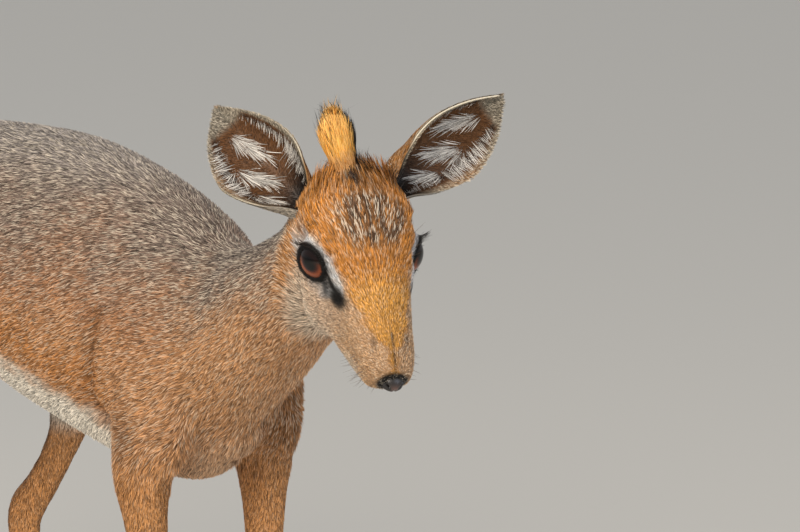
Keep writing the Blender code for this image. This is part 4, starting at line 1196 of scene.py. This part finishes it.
def eye_material():
    """A wet cornea over a dark iris: clear coat on near black, brown where light gets in, and painted shade on
    the upper iris.
    """
    material, tree = new_material("wet_eye")
    gaze = add(tree, "Attribute", attribute_name="gaze")
    axes = add(tree, "SeparateXYZ", {0: gaze.outputs["Vector"]})
    wide = add(tree, "Math", {0: axes, 1: 0.72}, operation="MULTIPLY")
    flat = add(tree, "CombineXYZ", {0: wide, 1: axes.outputs[1]})
    away = add(tree, "VectorMath", {0: flat}, operation="LENGTH")
    rays = add(tree, "TexNoise", {"Vector": gaze.outputs["Vector"], "Scale": 22.0, "Detail": 4.0})
    shift = add(tree, "Math", {0: rays, 1: 0.06, 2: 0.0}, operation="MULTIPLY_ADD")
    reach = add(tree, "Math", {0: away.outputs["Value"], 1: shift}, operation="ADD")
    ramp = add(tree, "ValToRGB", {"Fac": reach})
    stops = ((0.0, "#020203"), (0.22, "#040405"), (0.30, "#3A1408"), (0.42, "#8A4220"), (0.58, "#6E3418"),
             (0.74, "#2A120A"), (1.0, "#060505"))
    while len(ramp.color_ramp.elements) < len(stops):
        ramp.color_ramp.elements.new(0.5)
    for element, (at, text) in zip(ramp.color_ramp.elements, stops):
        element.position, element.color = at, rgba(text)
    # Painted shade: the upper part of the iris is darkened nearly to black, so its brown shows only low in
    # front.
    low = add(tree, "Math", {0: axes, 1: -0.45, 2: axes.outputs[1]}, operation="MULTIPLY_ADD")
    lit = add(tree, "MapRange", {"Value": low, "From Min": 0.22, "From Max": -0.20, "To Min": 0.03})
    iris_under_painted_shade = add(tree, "VectorMath", {0: ramp, "Scale": lit}, operation="SCALE")
    surface = add(tree, "BsdfPrincipled", {"Base Color": iris_under_painted_shade, "Roughness": 0.25,
                  "Specular IOR Level": 0.0, "Coat Weight": 1.0, "Coat Roughness": 0.02, "Coat IOR": 1.38})
    add(tree, "OutputMaterial", {"Surface": surface})
    return material


wet_eye = eye_material()
for side, node in ((1, "eye_left"), (-1, "eye_right")):
    ball = new_object(eye_ball(side), node.replace("eye", "eyeball"))
    ball.data.materials.append(wet_eye)
    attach(ball, "root")
    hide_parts(node)
print("eyes:", len(ball.data.polygons), "faces each")

# %% [markdown]
# Lashes and whiskers are single stiff hairs, so they are thin tapered tubes that curl. Her
# upper lashes are long and black and fan out past the back corner of the eye. The whiskers on
# lips and chin are finer and shorter. Each is a short spine of points with a radius that runs
# out to nothing.

# %% Single hairs
def hair_tubes(spines, widest, name):
    """One mesh of three-sided tapered tubes. spines is a list of arrays of head points, in mm."""
    points, faces = [], []
    for spine in spines:
        ahead = np.gradient(spine, axis=0)
        ahead /= np.linalg.norm(ahead, axis=1)[:, None]
        one = np.cross(ahead, (0.31, 0.52, 0.79))
        one /= np.linalg.norm(one, axis=1)[:, None]
        two = np.cross(ahead, one)
        start = len(points)
        count = len(spine)
        for i in range(count):
            radius = widest / 2 * (1 - (i / (count - 1)) ** 1.6) + 0.02
            for k in range(3):
                a = 2 * math.pi * k / 3
                points.append(spine[i] + radius * (math.cos(a) * one[i] + math.sin(a) * two[i]))
        for i in range(count - 1):
            for k in range(3):
                a, b = start + 3 * i + k, start + 3 * i + (k + 1) % 3
                faces.append((a, b, b + 3, a + 3))
        faces.append((start + 2, start + 1, start))
        faces.append((start + 3 * count - 3, start + 3 * count - 2, start + 3 * count - 1))
    mesh = bpy.data.meshes.new(name)
    mesh.from_pydata(from_head(points).tolist(), [], faces)
    return new_object(mesh, name)


def curled(root, way, curl, length, count=6):
    """A spine from root along way that turns towards curl as it goes."""
    steps = np.linspace(0, 1, count)[:, None]
    return np.array(root) + length * (steps * np.array(way) + steps**2 * np.array(curl))


def stiff_hair_material(name, text):
    """Stiff hair, nearly black or brown, with the gloss that thick hair has."""
    material, tree = new_material(name)
    place = add(tree, "TexCoord")
    grain = add(tree, "TexNoise", {"Vector": place.outputs["Object"], "Scale": 800.0})
    tone = add(tree, "MapRange", {"Value": grain, "To Min": 0.6, "To Max": 1.5})
    base = add(tree, "VectorMath", {0: rgba(text)[:3], "Scale": tone}, operation="SCALE")
    surface = add(tree, "BsdfPrincipled", {"Base Color": base, "Roughness": 0.4})
    add(tree, "OutputMaterial", {"Surface": surface})
    return material


lash_hair = stiff_hair_material("lash_hair", "#17110E")
print("hair for lashes:", lash_hair.name)

# %% Lashes
def rim_point(side, angle, rim=1.10, lift=0.6):
    """A point on the lid's edge, angle 0 at the front corner and 90 degrees at the top, in head mm."""
    power = 1.85
    c, s = math.cos(angle), math.sin(angle)
    along = LID_HALF[0] * math.copysign(abs(c) ** (2 / power), c) * rim
    across = LID_HALF[1] * math.copysign(abs(s) ** (2 / power), s) * rim
    ct, st = math.cos(LID_TILT), math.sin(LID_TILT)
    flat = LID_MIDDLE + (along * ct + across * st, -along * st + across * ct)
    flat = flat / EYE_RADIUS_MM
    depth = math.sqrt(max(0.05, 1 - flat @ flat))
    ray = np.array((flat[0], flat[1], depth)) / math.hypot(math.hypot(*flat), depth)
    return eye_middle(side) + (ray * (EYE_RADIUS_MM + lift)) @ eye_axes(side), ray


dice = random.Random(SEED)
spines = []
for side in (1, -1):
    axes = eye_axes(side)
    for _ in range(52):
        angle = math.radians(dice.triangular(40, 200, 160))
        back = smooth_step(60, 170, math.degrees(angle))
        root, ray = rim_point(side, angle, 1.12 + 0.10 * dice.random())
        flat_out = np.array((ray[0], ray[1], 0)) / math.hypot(ray[0], ray[1])
        way = (0.30 * flat_out + np.array((-0.15 - 0.22 * back, -0.15 * back, 0.95))
               + np.array([dice.gauss(0, 0.13) for _ in range(3)]))
        way = way / np.linalg.norm(way)
        length = (3.0 + 4.2 * back) * dice.uniform(0.6, 1.15)
        spines.append(curled(root, way @ axes, np.array((-0.12 * back, 0.16, -0.10)) @ axes, length))
    for _ in range(22):
        angle = math.radians(dice.uniform(-150, -35))
        root, ray = rim_point(side, angle, 1.12 + 0.06 * dice.random())
        flat_out = np.array((ray[0], ray[1], 0)) / math.hypot(ray[0], ray[1])
        way = 0.9 * flat_out + np.array((-0.25, 0, 0.75)) + np.array([dice.gauss(0, 0.10) for _ in range(3)])
        way = way / np.linalg.norm(way)
        spines.append(curled(root, way @ axes, np.array((0, -0.15, -0.1)) @ axes, dice.uniform(2.0, 4.2)))
lashes = hair_tubes(spines, 0.20, "lashes")
lashes.data.materials.append(lash_hair)
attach(lashes, "root")
print("lashes:", len(spines))

# %% Whiskers, and long hairs over the eyes and on the crown
skin_tree = BVHTree.FromPolygons([v.co for v in skin.data.vertices],
                                 [tuple(p.vertices) for p in skin.data.polygons])


def on_skin(point, away):
    """The point where a ray from outside, coming in along away, meets the skin. Head mm in and out."""
    away = np.array(away, float) / np.linalg.norm(away)
    start = Vector(from_head(np.array(point) + away * 60))
    hit, normal, _, _ = skin_tree.ray_cast(start, Vector(-(TURN @ away)))
    if hit is None:
        return None, None
    return to_head([hit])[0], TURN.T @ np.array(normal)


def scattered(count, centre, spread, away, way, length, curl=(-0.15, 0, -0.1)):
    """Spines rooted round a centre on the skin, seen from away, all pointing roughly along way."""
    made = []
    for _ in range(count):
        point = [c + s * dice.uniform(-1, 1) for c, s in zip(centre, spread)]
        root, normal = on_skin(point, away)
        if root is None:
            continue
        heading = np.array(way) + 0.5 * normal + np.array([dice.gauss(0, 0.16) for _ in range(3)])
        heading = heading / np.linalg.norm(heading)
        made.append(curled(root - normal * 0.4, heading, curl, length * dice.uniform(0.6, 1.15)))
    return made


spines = []
for side in (1, -1):
    spines += scattered(16, (60, 0, -6), (9, 0, 4), (0.1, side, -0.15), (0.1, 0.8 * side, -0.5), 9.0)
    spines += scattered(8, (52, 2 * side, 0), (10, 4, 0), (0.2, 0.2 * side, -1),
                        (0.15, 0.3 * side, -0.9), 8.0)
    spines += scattered(4, (4, 21 * side, 14), (7, 3, 3), (0.1, 0.7 * side, 0.8),
                        (-0.3, 0.7 * side, 0.7), 12.0)
whiskers = hair_tubes(spines, 0.20, "whiskers")
whiskers.data.materials.append(stiff_hair_material("whisker_hair", "#5A4A3C"))
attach(whiskers, "root")
spines = []
for centre, spread, count, length, lean in (((-31, 5, 0), (8, 5, 0), 130, 13.0, -0.35),
                                            ((-27, 18, 0), (7, 4, 0), 50, 11.0, 0.25),
                                            ((-33, -12, 0), (6, 6, 0), 24, 10.0, 0.3)):
    spines += scattered(count, centre, spread, (-0.3, 0, 1), (-0.75, lean, 0.55), length, (0.02, 0.0, 0.10))
guard = hair_tubes(spines, 0.30, "crown_guard_hairs")
guard.data.materials.append(lash_hair)
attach(guard, "root")
print("crown hairs:", len(spines))

# %% [markdown]
# The nose of a dik-dik ends in a small bare pad, black and damp, with a comma-shaped nostril on
# each side and a groove down the middle. The pad is a ball of fine faces with those dents
# pressed into it and a pebbled bump over it.

# %% Nose
NOSE_MM = (74.3, 0.2, -2.3)
NOSE_HALF = (6.0, 6.4, 4.9)


def nose_pad():
    mesh, unit = fine_ball("nose")
    h = unit * NOSE_HALF
    pink = np.zeros(len(h))
    for side in (1, -1):
        offset = h - np.array((5.2, 3.9 * side, 0.9))
        turned = (offset[:, 1] * side * 0.75 + offset[:, 2] * 0.65,
                  offset[:, 2] * 0.75 - offset[:, 1] * side * 0.65)
        hole = np.exp(-((turned[0] / 1.9) ** 2 + (turned[1] / 0.95) ** 2)) * (h[:, 0] > 0)
        slit = np.exp(-(((h[:, 1] * side - 5.6) / 1.5) ** 2 + ((h[:, 2] + 0.6) / 0.6) ** 2)) * (h[:, 0] > 0)
        h -= unit * (2.6 * hole + 0.9 * slit)[:, None]
        pink -= hole
    groove = np.exp(-((h[:, 1] / 0.55) ** 2)) * (h[:, 0] > 2) * smooth_step(1.5, -1.0, h[:, 2])
    h -= unit * (0.7 * groove)[:, None]
    pink += np.exp(-((h[:, 1] / 2.6) ** 2 + ((h[:, 2] - 0.6) / 1.8) ** 2)) * (h[:, 0] > 2)
    tint = mixed(np.tile(colour("#16110F"), (len(h), 1)), colour("#6A4B44"), np.clip(pink, 0, 1) * 0.8)
    paint(mesh, tint)
    mesh.vertices.foreach_set("co", from_head(h + NOSE_MM).ravel())
    mesh.shade_smooth()
    mesh.update()
    return mesh


def nose_material():
    """Bare damp skin: black, pebbled like fine leather, with a wet gloss."""
    material, tree = new_material("damp_nose_leather")
    tint = add(tree, "Attribute", attribute_name="coat")
    place = add(tree, "TexCoord")
    pebble = add(tree, "TexVoronoi", {"Vector": place.outputs["Object"], "Scale": 1500.0})
    bump = add(tree, "Bump", {"Height": pebble.outputs["Distance"], "Strength": 0.5, "Distance": 0.0002})
    surface = add(tree, "BsdfPrincipled", {"Base Color": tint.outputs["Color"], "Normal": bump,
                  "Roughness": 0.38, "Coat Weight": 0.3, "Coat Roughness": 0.15})
    add(tree, "OutputMaterial", {"Surface": surface})
    return material


nose = new_object(nose_pad(), "nose_leather")
nose.data.materials.append(nose_material())
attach(nose, "root")
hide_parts("nose_pad")
print("nose:", len(nose.data.polygons), "faces")

# %% [markdown]
# Hooves are horn, as nails are: dark, smooth and a little glossy, with fine rings of growth
# round them. Each solid claw is copied, merged, bevelled at its sharp edges and shaded
# smooth, so that its facets turn into one smooth wall.

# %% Hooves
def horn_material():
    """Horn: dark brown keratin that grew downwards, with fine rings, scuffed at the lower edge."""
    material, tree = new_material("hoof_horn")
    place = add(tree, "TexCoord")
    axes = add(tree, "SeparateXYZ", {0: place.outputs["Object"]})
    wobble = add(tree, "TexNoise", {"Vector": place.outputs["Object"], "Scale": 180.0})
    rings = add(tree, "TexWave", {"Vector": place.outputs["Object"], "Scale": 300.0, "Distortion": 2.0,
                "Detail": 2.0}, bands_direction="Z")
    ramp = add(tree, "ValToRGB", {"Fac": wobble})
    ramp.color_ramp.elements[0].color = rgba("#231C18")
    ramp.color_ramp.elements[1].color = rgba("#4A3D33")
    worn = add(tree, "MapRange", {"Value": axes.outputs[2], "From Min": 0.003, "From Max": 0.0005})
    mix = add(tree, "Mix", {"Factor": worn, 6: ramp, 7: rgba("#7A6B5A")}, data_type="RGBA")
    bump = add(tree, "Bump", {"Height": rings.outputs["Fac"], "Strength": 0.35, "Distance": 0.0004})
    surface = add(tree, "BsdfPrincipled", {"Base Color": mix.outputs[2], "Normal": bump, "Roughness": 0.42})
    add(tree, "OutputMaterial", {"Surface": surface})
    return material


horn = horn_material()
for name in [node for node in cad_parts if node.startswith("hoof_")]:
    claw = new_object(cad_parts[name].data.copy(), name.replace("hoof", "claw"))
    claw.data.materials.clear()
    claw.data.materials.append(horn)
    work = bmesh.new()
    work.from_mesh(claw.data)
    bmesh.ops.remove_doubles(work, verts=work.verts, dist=1e-6)
    work.to_mesh(claw.data)
    work.free()
    claw.data.shade_smooth()
    round_off = claw.modifiers.new("round_off", "BEVEL")
    round_off.width, round_off.segments = 0.5 * MM, 2
    round_off.limit_method, round_off.angle_limit = "ANGLE", math.radians(40)
    baked(claw)
    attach(claw, "root")
    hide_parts(name)
print("hooves done:", len(claw.data.polygons), "faces each")

# %% The skin takes the place of the flesh
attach(skin, "root")
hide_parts(*FLESH)
print("skin stands for", len(FLESH), "solids")

# %% [markdown]
# The photograph looks along the animal's right front quarter, from a little above her. A long
# lens is a camera far away with a narrow view. The floor is plain and pale, a pale sky lights
# everything softly, one large lamp in front, up on the left, gives the eyes their glint, and a
# weaker one on the right opens the shadows.

# %% Floor, light and camera
CAMERA_TURN, CAMERA_LIFT = math.radians(50), math.radians(11)
CAMERA_DISTANCE = 4.5
FRAME_PIXELS = (800, 532)
PIXEL = 0.52 * MM
HEAD_PIXEL = (361, 260)


def floor():
    mesh = bpy.data.meshes.new("floor")
    work = bmesh.new()
    bmesh.ops.create_grid(work, x_segments=1, y_segments=1, size=20)
    work.to_mesh(mesh)
    work.free()
    made = new_object(mesh, "floor")
    material, tree = new_material("pale_studio_floor")
    place = add(tree, "TexCoord")
    grain = add(tree, "TexNoise", {"Vector": place.outputs["Object"], "Scale": 40.0})
    bump = add(tree, "Bump", {"Height": grain, "Strength": 0.05, "Distance": 0.001})
    surface = add(tree, "BsdfPrincipled", {"Base Color": rgba("#D9D6CF"), "Roughness": 0.85,
                  "Normal": bump})
    add(tree, "OutputMaterial", {"Surface": surface})
    mesh.materials.append(material)


def lamp(name, at, target, size, power, tint):
    data = bpy.data.lights.new(name, "AREA")
    data.shape, data.size, data.energy = "DISK", size, power
    data.color = colour(tint)
    made = new_object(data, name)
    made.location = at
    made.rotation_euler = (Vector(target) - Vector(at)).to_track_quat("-Z", "Y").to_euler()


floor()
look = Vector((-math.sin(CAMERA_TURN) * math.cos(CAMERA_LIFT), math.cos(CAMERA_TURN) * math.cos(CAMERA_LIFT),
               -math.sin(CAMERA_LIFT)))
right = Vector((math.cos(CAMERA_TURN), math.sin(CAMERA_TURN), 0))
above = right.cross(look)
off_x, off_y = FRAME_PIXELS[0] / 2 - HEAD_PIXEL[0], FRAME_PIXELS[1] / 2 - HEAD_PIXEL[1]
aim = head_at + (right * off_x - above * off_y) * PIXEL
camera = new_object(bpy.data.cameras.new("camera"), "camera")
camera.data.sensor_width = 36
camera.data.lens = 36 * CAMERA_DISTANCE / (FRAME_PIXELS[0] * PIXEL)
camera.location = aim - look * CAMERA_DISTANCE
camera.rotation_euler = look.to_track_quat("-Z", "Y").to_euler()
bpy.context.scene.camera = camera
key_at = aim - look * 1.7 - right * 0.8 + above * 0.9
lamp("key", key_at, aim, 1.1, 40, "#FFF4E4")
lamp("fill", aim - look * 1.6 + right * 1.8 + above * 0.5, aim, 1.6, 14, "#EAF1FF")
world = bpy.data.worlds.new("soft_sky")
world.use_nodes = True
world.node_tree.nodes.clear()
sky = add(world.node_tree, "Background", {"Color": rgba("#F2F3F5"), "Strength": 0.55})
add(world.node_tree, "OutputWorld", {"Surface": sky})
bpy.context.scene.world = world
bpy.context.scene.view_settings.view_transform = "Standard"
print("camera at", [round(v, 2) for v in camera.location], "lens", round(camera.data.lens, 1))
